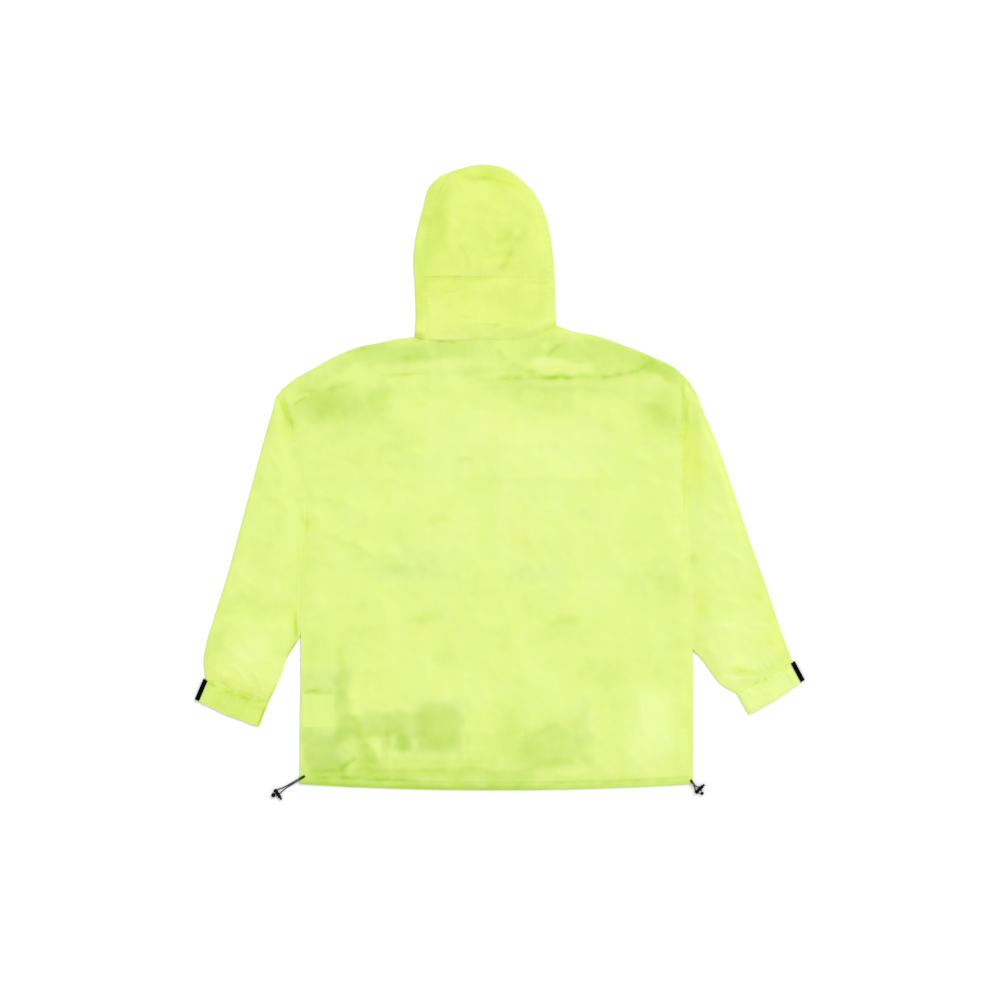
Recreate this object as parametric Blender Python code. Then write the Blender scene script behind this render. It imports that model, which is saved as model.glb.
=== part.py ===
"""Anorak pullover in thin nylon, laid flat with its back up.

+X is the wearer's right, +Y runs from the hem to the hood and +Z is up. The origin
is on the surface that the garment lies on, under the middle of its box. Every
table is in millimetres.
"""

import math
from collections import namedtuple

import bmesh
import bpy
import numpy as np
from mathutils import Matrix, Vector

Point = namedtuple("Point", "x y")
Fold = namedtuple("Fold", "x0 y0 x1 y1 width rise")
Wave = namedtuple("Wave", "height long turn across phase")
Fade = namedtuple("Fade", "wide tall")
Window = namedtuple("Window", "low high soft")
Strand = namedtuple("Strand", "share level apart")
Hardware = namedtuple(
    "Hardware", "name exit_x exit_y lock_x lock_y turn end_radius end_far end_along"
)
Finish = namedtuple("Finish", "red green blue rough metal")

MM = 0.001
CLOTH = 1.0  # wall of every cloth piece
SEAM = 0.3  # gap that parts two pieces
FLAT = 2 * CLOTH + SEAM  # two cloths lying on each other
SLEEVE_LIFT = FLAT + SEAM  # how far the body rides up over a sleeve's fold
ROOM = 3.3  # most air between the two cloths, beyond the seam gap
PUFF = 0.75  # how sharply that air follows the folds
HEM_TUNNEL = 15.0
HEM_BOW = 10.2  # how far the middle of the hem hangs below its corners
HEM_WALL = 1.5  # the turned-up cloth with its cord
HEM_TOP = 2 * HEM_WALL + SEAM
HEM_FLAT = 0.03  # share of the hem's length that stays flat at each end
HEM_FADE = 0.05  # and over which its gathers rise after that
BRIM = 20.0  # casing round the face opening
BRIM_BELLY = 0.5
HOOD_SEAM_Y = 341.3  # seam between the collar stand and the crown
UNDERARM_Y = -116.0
CUFF_WAVES = 14
CUFF_BOW = 2.6  # how far the middle of the opening stands out past its corners
CUFF_SWELL = 1.3  # height of a gather over the cuff's own cloth
CUFF_PUFF = 0.6  # and of the whole cuff between its gathers
CUFF_DRIFT = 5.1  # how the gathers' heights vary across the cuff
CUFF_FLATTENED = 0.45  # how much lower they are at the opening than at the sleeve
CUFF_LIFTED = 0.1  # share of the cuff, at its outer end, that lies over the tab
CUFF_RIM = Window(0.07, 0.06, 0.08)  # flat share at the outer and inner end, and the rise
SLEEVE_GATHERS = 7  # drawn in above the cuff
SLEEVE_GATHER = 0.35
GATHERED_FROM = 0.8  # share of the sleeve's length above them
SLEEVE_OUTER_RIM = 0.16  # share of a sleeve's width in which its fold rounds over
SLEEVE_INNER_RIM = 0.12
BESIDE_GAP = 4.0  # a sleeve stays flat until it is this far from the body
BESIDE_FADE = 30.0
TAB_GRIP = 5.0  # how far the webbing reaches over the cuff's edge
TAB_LOOP = 2.8  # and how far its fold stands off that edge
TAB_WALL = 1.0
TAB_SOFT = 0.5
LABEL_WALL = 0.8
STRAND_RADIUS = 0.95
LOCK_RADIUS = 2.9
PLUNGER_TRAVEL = 2.4
LOCK_SOFT = 0.55  # rounding of the barrel's rims

# How finely each piece is stepped. The body's columns are shares of its width: close
# together by the sides, then under the shoulders, then even across the neck.
BODY_ROWS = 27
EDGE_STEPS = [0.0, 0.012, 0.026, 0.042, 0.065, 0.095]
SHOULDER_STEPS = [0.13, 0.18, 0.23, 0.28]
NECK_STEPS = [1 / 3 + k / 21 for k in range(8)]
HEM_STEPS = 32
HEM_ROWS = 3
SLEEVE_ROWS = 18
SLEEVE_COLUMNS = 11
SLEEVE_UNDER_STEPS = 8
CUFF_ROWS = 5
CUFF_UNDER_STEPS = 10
BRIM_ROWS = 16
BRIM_COLUMNS = 3
HOOD_COLUMNS = 12
COLLAR_ROWS = 6
CROWN_ROWS = 12
CROWN_START = 0.12  # where the brim's casing ends, as a share of the crown's line

# The body's side seam and armhole, from the hem up to the tip of the shoulder.
BODY_LEFT = [
    Point(-340.4, -522.3),
    Point(-340.0, -420.0),
    Point(-337.8, -305.0),
    Point(-338.4, -209.5),
    Point(-334.5, -133.0),
    Point(-331.9, -73.5),
    Point(-337.9, -5.5),
    Point(-348.1, 54.0),
    Point(-360.0, 105.0),
    Point(-372.6, 146.5),
]
BODY_RIGHT = [
    Point(328.5, -522.3),
    Point(327.7, -277.5),
    Point(323.4, -175.5),
    Point(316.6, -82.0),
    Point(313.2, 3.0),
    Point(315.8, 62.5),
    Point(320.0, 130.5),
    Point(324.9, 158.9),
]
# The top of the body, from the wearer's left shoulder to the right one.
SHOULDER_LEFT = [
    Point(-372.6, 146.5),
    Point(-354.9, 161.6),
    Point(-320.9, 181.9),
    Point(-283.5, 202.8),
    Point(-232.5, 222.4),
    Point(-205.0, 227.6),
    Point(-180.0, 233.2),
    Point(-145.8, 238.0),
]
NECK = [
    Point(-145.8, 238.0),
    Point(-113.5, 231.4),
    Point(-26.8, 232.5),
    Point(34.4, 234.2),
    Point(68.4, 242.7),
    Point(95.9, 257.6),
]
SHOULDER_RIGHT = [
    Point(95.9, 257.6),
    Point(122.8, 247.8),
    Point(165.3, 239.3),
    Point(209.5, 224.0),
    Point(260.5, 203.6),
    Point(299.0, 184.2),
    Point(324.9, 158.9),
]
# The hood in profile: the face opening, the crown and the back of the head.
FACE_EDGE = [
    Point(-144.6, 238.6),
    Point(-142.6, 266.5),
    Point(-143.6, 317.5),
    Point(-146.2, 375.3),
    Point(-143.2, 402.5),
    Point(-130.2, 456.9),
    Point(-119.0, 494.0),
    Point(-101.6, 511.3),
]
CROWN_EDGE = [
    Point(-101.6, 511.3),
    Point(-71.0, 522.9),
    Point(-26.8, 531.2),
    Point(14.0, 522.3),
    Point(44.6, 497.7),
    Point(58.2, 484.1),
]
NAPE_EDGE = [
    Point(95.9, 258.2),
    Point(93.9, 317.5),
    Point(90.5, 375.3),
    Point(81.9, 429.7),
    Point(72.6, 456.9),
    Point(58.2, 484.1),
]
# A sleeve's two folded edges, from the armhole down to the cuff. Below the underarm
# the inner one runs under the body until it comes out at the side seam.
SLEEVE_LEFT_OUTER = [
    Point(-373.2, 146.0),
    Point(-379.0, 138.4),
    Point(-385.4, 116.0),
    Point(-395.6, 81.2),
    Point(-417.8, -0.4),
    Point(-439.9, -82.0),
    Point(-462.0, -163.6),
    Point(-487.5, -245.2),
    Point(-499.4, -286.0),
    Point(-503.6, -311.0),
    Point(-500.6, -345.0),
]
SLEEVE_LEFT_INNER = [
    Point(-333.6, UNDERARM_Y),
    Point(-321.0, -192.5),
    Point(-327.7, -240.1),
    Point(-340.9, -273.4),
    Point(-360.8, -306.4),
    Point(-375.6, -345.5),
    Point(-394.8, -386.3),
]
SLEEVE_RIGHT_OUTER = [
    Point(325.4, 158.4),
    Point(334.6, 142.4),
    Point(341.2, 124.5),
    Point(367.6, 60.8),
    Point(396.5, -20.8),
    Point(423.4, -102.4),
    Point(452.2, -183.6),
    Point(479.8, -265.6),
    Point(498.5, -315.4),
]
SLEEVE_RIGHT_INNER = [
    Point(319.3, UNDERARM_Y),
    Point(303.5, -192.5),
    Point(311.0, -250.0),
    Point(329.4, -295.8),
    Point(344.2, -310.6),
    Point(355.9, -327.0),
    Point(378.0, -354.5),
    Point(402.0, -368.0),
]
# A cuff's corners: at the sleeve and at the opening, outer edge first.
CUFF_LEFT = [
    Point(-500.6, -345.0),
    Point(-394.8, -386.3),
    Point(-515.3, -379.8),
    Point(-410.0, -424.6),
]
CUFF_RIGHT = [
    Point(498.5, -315.4),
    Point(402.0, -368.0),
    Point(515.5, -347.2),
    Point(423.4, -404.8),
]
FOLD_END = 0.6  # how gently a fold runs out at its ends, against 1 at its sides
# The largest folds: a soft ridge (or trough, where rise is below 0) between two ends.
FOLDS = [
    Fold(0.4, 166.2, 144.9, 167.9, 13.0, 1.5),
    Fold(144.9, 167.9, 265.6, 195.1, 13.0, 1.5),
    Fold(0.0, 186.0, 150.0, 188.0, 16.0, -0.9),
    Fold(-223.9, 195.1, -47.2, 198.5, 15.0, 0.9),
    Fold(-200.0, 171.0, -30.0, 171.0, 14.0, -0.6),
    Fold(-303.9, -93.9, -207.0, -141.5, 18.0, 1.4),
    Fold(-310.7, -34.4, -222.3, -66.7, 16.0, 1.1),
    Fold(-290.0, -20.0, -180.0, -20.0, 24.0, -0.8),
    Fold(138.1, 118.6, 194.2, 91.4, 16.0, 1.0),
    Fold(-30.2, 3.0, 153.4, -5.5, 22.0, 1.1),
    Fold(-224.0, -150.0, -47.2, -173.8, 22.0, 1.1),
    Fold(218.0, -165.3, 290.0, -170.4, 18.0, 1.0),
    Fold(82.0, -253.7, 136.4, -245.2, 18.0, 0.9),
    Fold(-278.4, -309.8, -263.1, -389.7, 17.0, 1.3),
    Fold(-263.1, -389.7, -198.5, -486.6, 17.0, 1.3),
    Fold(144.9, -365.9, 153.4, -440.0, 18.0, 1.2),
    Fold(-54.0, -374.4, -54.0, -478.1, 14.0, 1.0),
    Fold(46.3, -398.2, 46.3, -478.1, 14.0, 0.9),
    Fold(250.0, -380.0, 285.0, -480.0, 26.0, 1.3),
    Fold(-461.0, -255.0, -400.0, -330.0, 30.0, 1.6),
    Fold(-455.0, -205.0, -350.0, -235.0, 22.0, -1.2),
    Fold(-385.0, 110.0, -362.0, 40.0, 16.0, 1.0),
    Fold(-400.0, 0.0, -380.0, -130.0, 24.0, 1.0),
    Fold(350.0, 110.0, 345.0, 10.0, 18.0, 1.1),
    Fold(390.0, -60.0, 360.0, -170.0, 24.0, 1.0),
    Fold(405.0, -262.0, 450.0, -285.0, 24.0, 1.5),
    Fold(22.0, 383.0, 2.0, 345.0, 14.0, 1.2),
    Fold(-70.0, 262.0, 18.0, 256.0, 14.0, 1.0),
    Fold(-95.0, 430.0, -60.0, 360.0, 24.0, 0.9),
    Fold(20.0, 470.0, 60.0, 400.0, 22.0, 1.0),
]
# A slow swell between the folds: its height, how long it is along X, how that turns with
# Y, and how long it is along Y. The second one runs on the slant.
SWELL = Wave(0.55, 47.0, 61.0, 53.0, 1.3)
SLANT = Wave(0.35, 31.0, 0.6, 0.0, 0.8)
HEM_WAVE = Wave(0.45, 9.5, 41.0, 0.0, 0.0)  # how the cord draws the tunnel up
# Share of a piece, from its rim, in which its cloth comes down to the seam.
BODY_FADE = Fade(0.14, 0.07)
CROWN_FADE = Fade(0.16, 0.12)
COLLAR_FADE = Fade(0.16, 0.25)
BRIM_FADE = Fade(0.1, 0.08)
COLLAR_SHARE = 0.8  # of the air that the crown would hold
# Where the body rides up over the sleeves, along Y, and how far in from its edge.
SLEEVE_UNDER = Window(-310.0, -80.0, 60.0)
LIFT_WIDE = 26.0
LIFT_FADE = 42.0
# The care label, sewn into the wearer's left side seam.
LABEL_X = Window(-336.0, -281.8, 0.0)
LABEL_Y = Window(-425.5, -371.0, 0.0)
LABEL_EASE = 25.0  # how far round the label the cloth takes to lie down again

HARDWARE = [
    Hardware("left", -333.5, -509.9, -379.0, -537.3, -56.7, 3.8, 7.2, 0.2),
    Hardware("right", 325.6, -517.2, 337.8, -533.1, 43.0, 2.8, 8.4, 1.0),
]
# From the hem's corner to the lock: how far along, how high over the sag's floor, and how
# many times as far apart as where the two strands lie side by side.
SAGGING = [
    Strand(0.35, 0.45, 1.0),
    Strand(0.6, 0.0, 1.2),
    Strand(0.82, 0.1, 2.0),
]
STRAND_SAG = 0.07  # for each millimetre that it hangs free
FLOOR_GAP = 0.2
ENTRY_GAP = 1.5  # where a strand has turned to go straight into its hole
BEAD_GRIP = 0.9  # where a strand ends, as a share of the bead's radius from its middle
# Along the barrel's axis, from the middle of its two cord holes.
LOCK_START = -6.8
LOCK_END = 10.0
HOLE_AT = 3.6
HOLE_RADIUS = 1.3
BORE_FLOOR = 5.8
PLUNGER_RADIUS = 1.5
PLUNGER_START = BORE_FLOOR + SEAM + PLUNGER_TRAVEL
HEAD_START = LOCK_END + SEAM + PLUNGER_TRAVEL
HEAD_LENGTH = 1.4
HEAD_RADIUS = 2.0
HEAD_SOFT = 0.45

NEON = Finish(0.76, 0.91, 0.25, 0.45, 0.0)
BLACK_WEBBING = Finish(0.012, 0.012, 0.013, 0.85, 0.0)
BLACK_CORD = Finish(0.015, 0.015, 0.016, 0.75, 0.0)
BLACK_PLASTIC = Finish(0.02, 0.02, 0.022, 0.4, 0.0)
LABEL_WHITE = Finish(0.8, 0.8, 0.76, 0.6, 0.0)


def clear_scene():
    for thing in list(bpy.data.objects):
        bpy.data.objects.remove(thing, do_unlink=True)


def material(name, finish):
    made = bpy.data.materials.new(name)
    made.use_nodes = True
    shader = made.node_tree.nodes["Principled BSDF"]
    shader.inputs["Base Color"].default_value = (*finish[:3], 1.0)
    shader.inputs["Roughness"].default_value = finish.rough
    shader.inputs["Metallic"].default_value = finish.metal
    return made


def soft_step(t):
    """0 below 0, 1 above 1 and a smooth rise between."""
    t = min(max(t, 0.0), 1.0)
    return t * t * (3 - 2 * t)


def inside(window, value):
    """1 within the window, fading to 0 over its soft margin on either side."""
    rise = soft_step((value - window.low) / window.soft + 1)
    return rise * soft_step((window.high - value) / window.soft + 1)


def curve(rows, fractions):
    """Points at these fractions of a smooth curve through the rows."""
    knots = np.array([(row.x, row.y) for row in rows])
    if len(rows) == 2:
        return [Point(*(knots[0] + (knots[1] - knots[0]) * f)) for f in fractions]
    reach = np.linalg.norm(np.diff(knots, axis=0), axis=1)
    at = np.concatenate([[0.0], np.cumsum(reach)])
    slope = np.gradient(knots, at, axis=0)
    points = []
    for f in fractions:
        s = f * at[-1]
        i = min(int(np.searchsorted(at, s, side="right")) - 1, len(reach) - 1)
        h = reach[i]
        t = (s - at[i]) / h
        start = (2 * t**3 - 3 * t**2 + 1) * knots[i] + (t**3 - 2 * t**2 + t) * h * slope[i]
        end = (3 * t**2 - 2 * t**3) * knots[i + 1] + (t**3 - t**2) * h * slope[i + 1]
        points.append(Point(*(start + end)))
    return points


def spread(count):
    return [i / count for i in range(count + 1)]


def joined(*runs):
    """Curves end to end, each on its own table and with its own number of steps."""
    points = []
    for rows, count in runs:
        run = curve(rows, spread(count))
        points += run[1:] if points else run
    return points


def heights(rows, low, high, count):
    """Points of an upright edge at even heights from low to high."""
    fine = curve(rows, spread(300))
    ys = np.array([p.y for p in fine])
    xs = np.array([p.x for p in fine])
    order = np.argsort(ys)
    return [
        Point(float(np.interp(y, ys[order], xs[order])), float(y))
        for y in np.linspace(low, high, count + 1)
    ]


def patch(bottom, top, left, right):
    """A grid of points filling the space between four edges, one row for each height."""
    columns = len(bottom) - 1
    rows = len(left) - 1
    grid = []
    for j in range(rows + 1):
        v = j / rows
        line = []
        for i in range(columns + 1):
            u = i / columns
            xy = []
            for k in (0, 1):
                across = (1 - u) * left[j][k] + u * right[j][k]
                along = (1 - v) * bottom[i][k] + v * top[i][k]
                low = (1 - u) * bottom[0][k] + u * bottom[-1][k]
                high = (1 - u) * top[0][k] + u * top[-1][k]
                xy.append(across + along - (1 - v) * low - v * high)
            line.append(Point(*xy))
        grid.append(line)
    return grid


def fold_at(x, y):
    """Height of the folds over the cloth's own level, with a slow swell between them."""
    along = math.sin(x / SWELL.long + math.sin(y / SWELL.turn))
    swell = SWELL.height * along * math.sin(y / SWELL.across + SWELL.phase)
    swell += SLANT.height * math.sin((x + SLANT.turn * y) / SLANT.long + SLANT.phase)
    for fold in FOLDS:
        run = Vector((fold.x1 - fold.x0, fold.y1 - fold.y0))
        away = Vector((x - fold.x0, y - fold.y0))
        along = away.dot(run) / run.length_squared
        past = max(-along, along - 1, 0.0) * run.length
        off = abs(run.x * away.y - run.y * away.x) / run.length
        reach = math.hypot(off, past * FOLD_END) / fold.width
        swell += fold.rise * math.exp(-reach * reach)
    return swell


def air(x, y):
    """Air between the two cloths away from their seams, from 0 to ROOM."""
    return ROOM * (0.5 + 0.5 * math.tanh(fold_at(x, y) * PUFF))


def finished(name, bm, look, smooth=True):
    """A mesh in millimetres becomes an object in metres."""
    bmesh.ops.recalc_face_normals(bm, faces=bm.faces)
    bmesh.ops.scale(bm, vec=(MM, MM, MM), verts=bm.verts)
    mesh = bpy.data.meshes.new(name)
    bm.to_mesh(mesh)
    bm.free()
    mesh.materials.append(look)
    if smooth:
        mesh.shade_smooth()
        mesh.set_sharp_from_angle(angle=math.radians(40))
    thing = bpy.data.objects.new(name, mesh)
    bpy.context.scene.collection.objects.link(thing)
    return thing


def sheet(name, grid, under, wall, look):
    """A cloth piece: the grid of points, its underside at under(x, y, u, v)."""
    rows = len(grid) - 1
    columns = len(grid[0]) - 1
    bm = bmesh.new()
    bmesh.ops.create_grid(bm, x_segments=columns, y_segments=rows, size=0.5)
    grown = bmesh.ops.extrude_face_region(bm, geom=bm.faces[:])["geom"]
    upper = {item for item in grown if isinstance(item, bmesh.types.BMVert)}
    for vert in bm.verts:
        i = round((vert.co.x + 0.5) * columns)
        j = round((vert.co.y + 0.5) * rows)
        x, y = grid[j][i]
        z = under(x, y, i / columns, j / rows)
        vert.co = (x, y, z + wall if vert in upper else z)
    return finished(name, bm, look)


def wrap(name, rings, look):
    """A closed wall: each ring is bridged to the next, and the last to the first."""
    bm = bmesh.new()
    loops = [[bm.verts.new(p) for p in ring] for ring in rings]
    size = len(rings[0])
    for j, loop in enumerate(loops):
        after = loops[(j + 1) % len(loops)]
        for i in range(size):
            k = (i + 1) % size
            bm.faces.new((loop[i], loop[k], after[k], after[i]))
    return finished(name, bm, look)


def tube(name, grid, lift, top, low_steps, look):
    """A sleeve or cuff pressed flat: one ring for each row of the grid, hollow inside.

    lift(u, v) is the height of the underside and top(x, y, u, v) of the upper side.
    """
    columns = len(grid[0]) - 1
    rows = len(grid) - 1
    outside = []
    hollow = []
    for j, line in enumerate(grid):
        v = j / rows
        start = Vector(line[0])
        end = Vector(line[-1])
        inset = (end - start).normalized() * CLOTH
        ring = []
        core = []
        steps = [(i, True) for i in range(columns + 1)]
        steps += [(columns * (1 - k / low_steps), False) for k in range(low_steps + 1)]
        for place, is_top in steps:
            i = min(int(place), columns - 1)
            u = place / columns
            spot = Vector(line[i]).lerp(Vector(line[i + 1]), place - i)
            low = lift(u, v)
            high = top(spot.x, spot.y, u, v)
            ring.append((spot.x, spot.y, high if is_top else low))
            if u < 0.001:
                spot = spot + inset
            if u > 0.999:
                spot = spot - inset
            core.append((spot.x, spot.y, high - CLOTH if is_top else low + CLOTH))
        outside.append(ring)
        hollow.append(core)
    return wrap(name, outside + hollow[::-1], look)


def hem_line(count, rise):
    """The hem from left to right, bowed down in the middle and raised by rise."""
    left = BODY_LEFT[0]
    right = BODY_RIGHT[0]
    points = []
    for f in spread(count):
        bow = HEM_BOW * (1 - (2 * f - 1) ** 2)
        points.append(Point(left.x + (right.x - left.x) * f, left.y - bow + rise))
    return points


def edge_fade(u, v, fade):
    """0 on the rim of a piece and 1 inside it."""
    return soft_step(min(u, 1 - u) / fade.wide) * soft_step(min(v, 1 - v) / fade.tall)


def body_grid(columns, rows):
    """The body's outline filled, its columns close together at the two sides."""
    third = columns // 3
    top = joined((SHOULDER_LEFT, third), (NECK, columns - 2 * third), (SHOULDER_RIGHT, third))
    bottom = hem_line(columns, HEM_TUNNEL + SEAM)
    left = heights(BODY_LEFT, bottom[0].y, BODY_LEFT[-1].y, rows)
    right = heights(BODY_RIGHT, bottom[-1].y, BODY_RIGHT[-1].y, rows)
    return patch(bottom, top, left, right)


def side_x(grid, side, y):
    """X of the body's own edge at this height, on its rows' straight steps."""
    column = 0 if side < 0 else -1
    ys = [line[column].y for line in grid]
    xs = [line[column].x for line in grid]
    return float(np.interp(y, ys, xs))


def across(line, fractions):
    """Points of one row at these fractions of its columns."""
    last = len(line) - 1
    points = []
    for f in fractions:
        i = min(int(f * last), last - 1)
        spot = Vector(line[i]).lerp(Vector(line[i + 1]), f * last - i)
        points.append(Point(spot.x, spot.y))
    return points


def make_body(neon, white):
    """Front below, back above it and the care label between them."""
    side_steps = EDGE_STEPS + SHOULDER_STEPS
    steps = side_steps + NECK_STEPS + [1 - f for f in reversed(side_steps)]
    grid = [across(line, steps) for line in body_grid(90, BODY_ROWS)]

    def lift(x, y):
        side = -1 if x < 0 else 1
        depth = abs(side_x(grid, side, y)) - abs(x)
        reach = 1 - soft_step((depth - LIFT_WIDE) / LIFT_FADE)
        return SLEEVE_LIFT * reach * inside(SLEEVE_UNDER, y)

    def front_under(x, y, u, v):
        return lift(x, y)

    def back_under(x, y, u, v):
        label = LABEL_WALL + SEAM
        for window, value in ((LABEL_X, x), (LABEL_Y, y)):
            over = Window(window.low - LABEL_EASE, window.high + LABEL_EASE, LABEL_EASE)
            label *= inside(over, value)
        puff = air(x, y) * edge_fade(u, v, BODY_FADE)
        level = CLOTH + SEAM + lift(x, y)
        return level + max(label, puff)

    sheet("body_front", grid, front_under, CLOTH, neon)
    sheet("body_back", grid, back_under, CLOTH, neon)

    corners = [
        [Point(x, y) for x in (LABEL_X.low, LABEL_X.high)] for y in (LABEL_Y.low, LABEL_Y.high)
    ]
    sheet("care_label", corners, lambda x, y, u, v: CLOTH + SEAM, LABEL_WALL, white)
    return grid


def make_hem(neon):
    """The turned-up tunnel on each side, one lying on the other."""
    low = hem_line(HEM_STEPS, 0.0)
    high = hem_line(HEM_STEPS, HEM_TUNNEL)
    left = curve([low[0], high[0]], spread(HEM_ROWS))
    right = curve([low[-1], high[-1]], spread(HEM_ROWS))
    grid = patch(low, high, left, right)

    def back_under(x, y, u, v):
        along = x / HEM_WAVE.long + 2 * math.sin(x / HEM_WAVE.turn)
        ripple = HEM_WAVE.height * (1 + math.sin(along))
        belly = math.sin(math.pi * v) if 0 < v < 1 else 0.0
        end = (min(u, 1 - u) - HEM_FLAT) / HEM_FADE
        return HEM_WALL + SEAM + ripple * belly * soft_step(end)

    sheet("hem_tunnel_front", grid, lambda x, y, u, v: 0.0, HEM_WALL, neon)
    sheet("hem_tunnel_back", grid, back_under, HEM_WALL, neon)


def make_sleeve(side, outer, inner, body, neon):
    """One sleeve, folded flat, from the armhole to the cuff's seam."""
    name = "sleeve_left" if side < 0 else "sleeve_right"
    top_y = outer[0].y
    armhole = []
    for f in spread(SLEEVE_COLUMNS):
        y = top_y + (UNDERARM_Y - top_y) * f
        armhole.append(Point(side_x(body, side, y) + side * 2 * SEAM, y))
    cuff = curve([outer[-1], inner[-1]], spread(SLEEVE_COLUMNS))
    outer_run = curve([Point(*armhole[0])] + outer[1:], spread(SLEEVE_ROWS))
    inner_run = curve([Point(*armhole[-1])] + inner[1:], spread(SLEEVE_ROWS))
    grid = patch(armhole, cuff, outer_run, inner_run)

    def top(x, y, u, v):
        rim = soft_step(u / SLEEVE_OUTER_RIM) * soft_step((1 - u) / SLEEVE_INNER_RIM)
        clear = abs(x) - abs(side_x(body, side, y)) - BESIDE_GAP
        beside = soft_step(clear / BESIDE_FADE)
        drawn = soft_step((v - GATHERED_FROM) / (1 - GATHERED_FROM))
        gathers = SLEEVE_GATHER * math.cos(2 * math.pi * SLEEVE_GATHERS * u) * drawn
        return FLAT + (air(x, y) + gathers) * rim * beside

    tube(name, grid, lambda u, v: 0.0, top, SLEEVE_UNDER_STEPS, neon)


def make_cuff(side, corners, neon, webbing):
    """The gathered cuff and the webbing folded over its outer end."""
    label = "left" if side < 0 else "right"
    columns = 2 * CUFF_WAVES
    down = Vector(corners[2]) - Vector(corners[0])
    gap = down.normalized() * SEAM
    start = [Point(*(Vector(corners[k]) + gap)) for k in (0, 1)]
    middle = (Vector(corners[2]) + Vector(corners[3])) / 2 + down.normalized() * CUFF_BOW
    bottom = curve([corners[2], Point(*middle), corners[3]], spread(columns))
    top_edge = curve(start, spread(columns))
    outer = curve([start[0], corners[2]], spread(CUFF_ROWS))
    inner = curve([start[1], corners[3]], spread(CUFF_ROWS))
    grid = patch(top_edge, bottom, outer, inner)

    def lift(u, v):
        return (TAB_WALL + SEAM) * (1 - soft_step(u / CUFF_LIFTED - 1))

    def top(x, y, u, v):
        wave = 0.5 - 0.5 * math.cos(2 * math.pi * CUFF_WAVES * u)
        uneven = 0.75 + 0.25 * math.sin(CUFF_DRIFT * u * CUFF_WAVES + side)
        rim = soft_step((u - CUFF_RIM.low) / CUFF_RIM.soft) * soft_step((1 - u) / CUFF_RIM.high)
        rise = CUFF_SWELL * wave * uneven * (1 - CUFF_FLATTENED * v)
        return lift(u, v) + FLAT + rim * (CUFF_PUFF + rise)

    tube(f"cuff_{label}", grid, lift, top, CUFF_UNDER_STEPS, neon)

    level = FLAT + TAB_WALL + 2 * SEAM
    reach = TAB_LOOP + TAB_WALL
    outline = [
        (TAB_GRIP, 0.0),
        (TAB_GRIP, TAB_WALL),
        (-TAB_LOOP, TAB_WALL),
        (-TAB_LOOP, level),
        (TAB_GRIP, level),
        (TAB_GRIP, level + TAB_WALL),
        (-reach + TAB_SOFT, level + TAB_WALL),
        (-reach, level),
        (-reach, TAB_WALL),
        (-reach + TAB_SOFT, 0.0),
    ]
    over = (Vector(start[1]) - Vector(start[0])).normalized()
    bm = bmesh.new()
    ring = []
    for offset, z in outline:
        spot = Vector(start[0]) + over * offset
        ring.append(bm.verts.new((spot.x, spot.y, z)))
    bm.faces.new(ring)
    run = Vector(corners[2]) - Vector(start[0])
    grown = bmesh.ops.extrude_face_region(bm, geom=bm.faces[:])["geom"]
    far = [item for item in grown if isinstance(item, bmesh.types.BMVert)]
    bmesh.ops.translate(bm, vec=(run.x, run.y, 0.0), verts=far)
    bmesh.ops.triangulate(bm, faces=bm.faces)
    finished(f"cuff_tab_{label}", bm, webbing, smooth=False)


def brim_inner():
    """The casing's stitched line, BRIM inside the face opening."""
    rows = curve(FACE_EDGE, spread(8))
    points = []
    for i, spot in enumerate(rows):
        before = Vector(rows[max(i - 1, 0)])
        after = Vector(rows[min(i + 1, len(rows) - 1)])
        way = (after - before).normalized()
        points.append(Point(spot.x + way.y * BRIM, spot.y - way.x * BRIM))
    crown = curve(CROWN_EDGE, [CROWN_START])[0]
    return points[:-1] + [crown]


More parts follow.
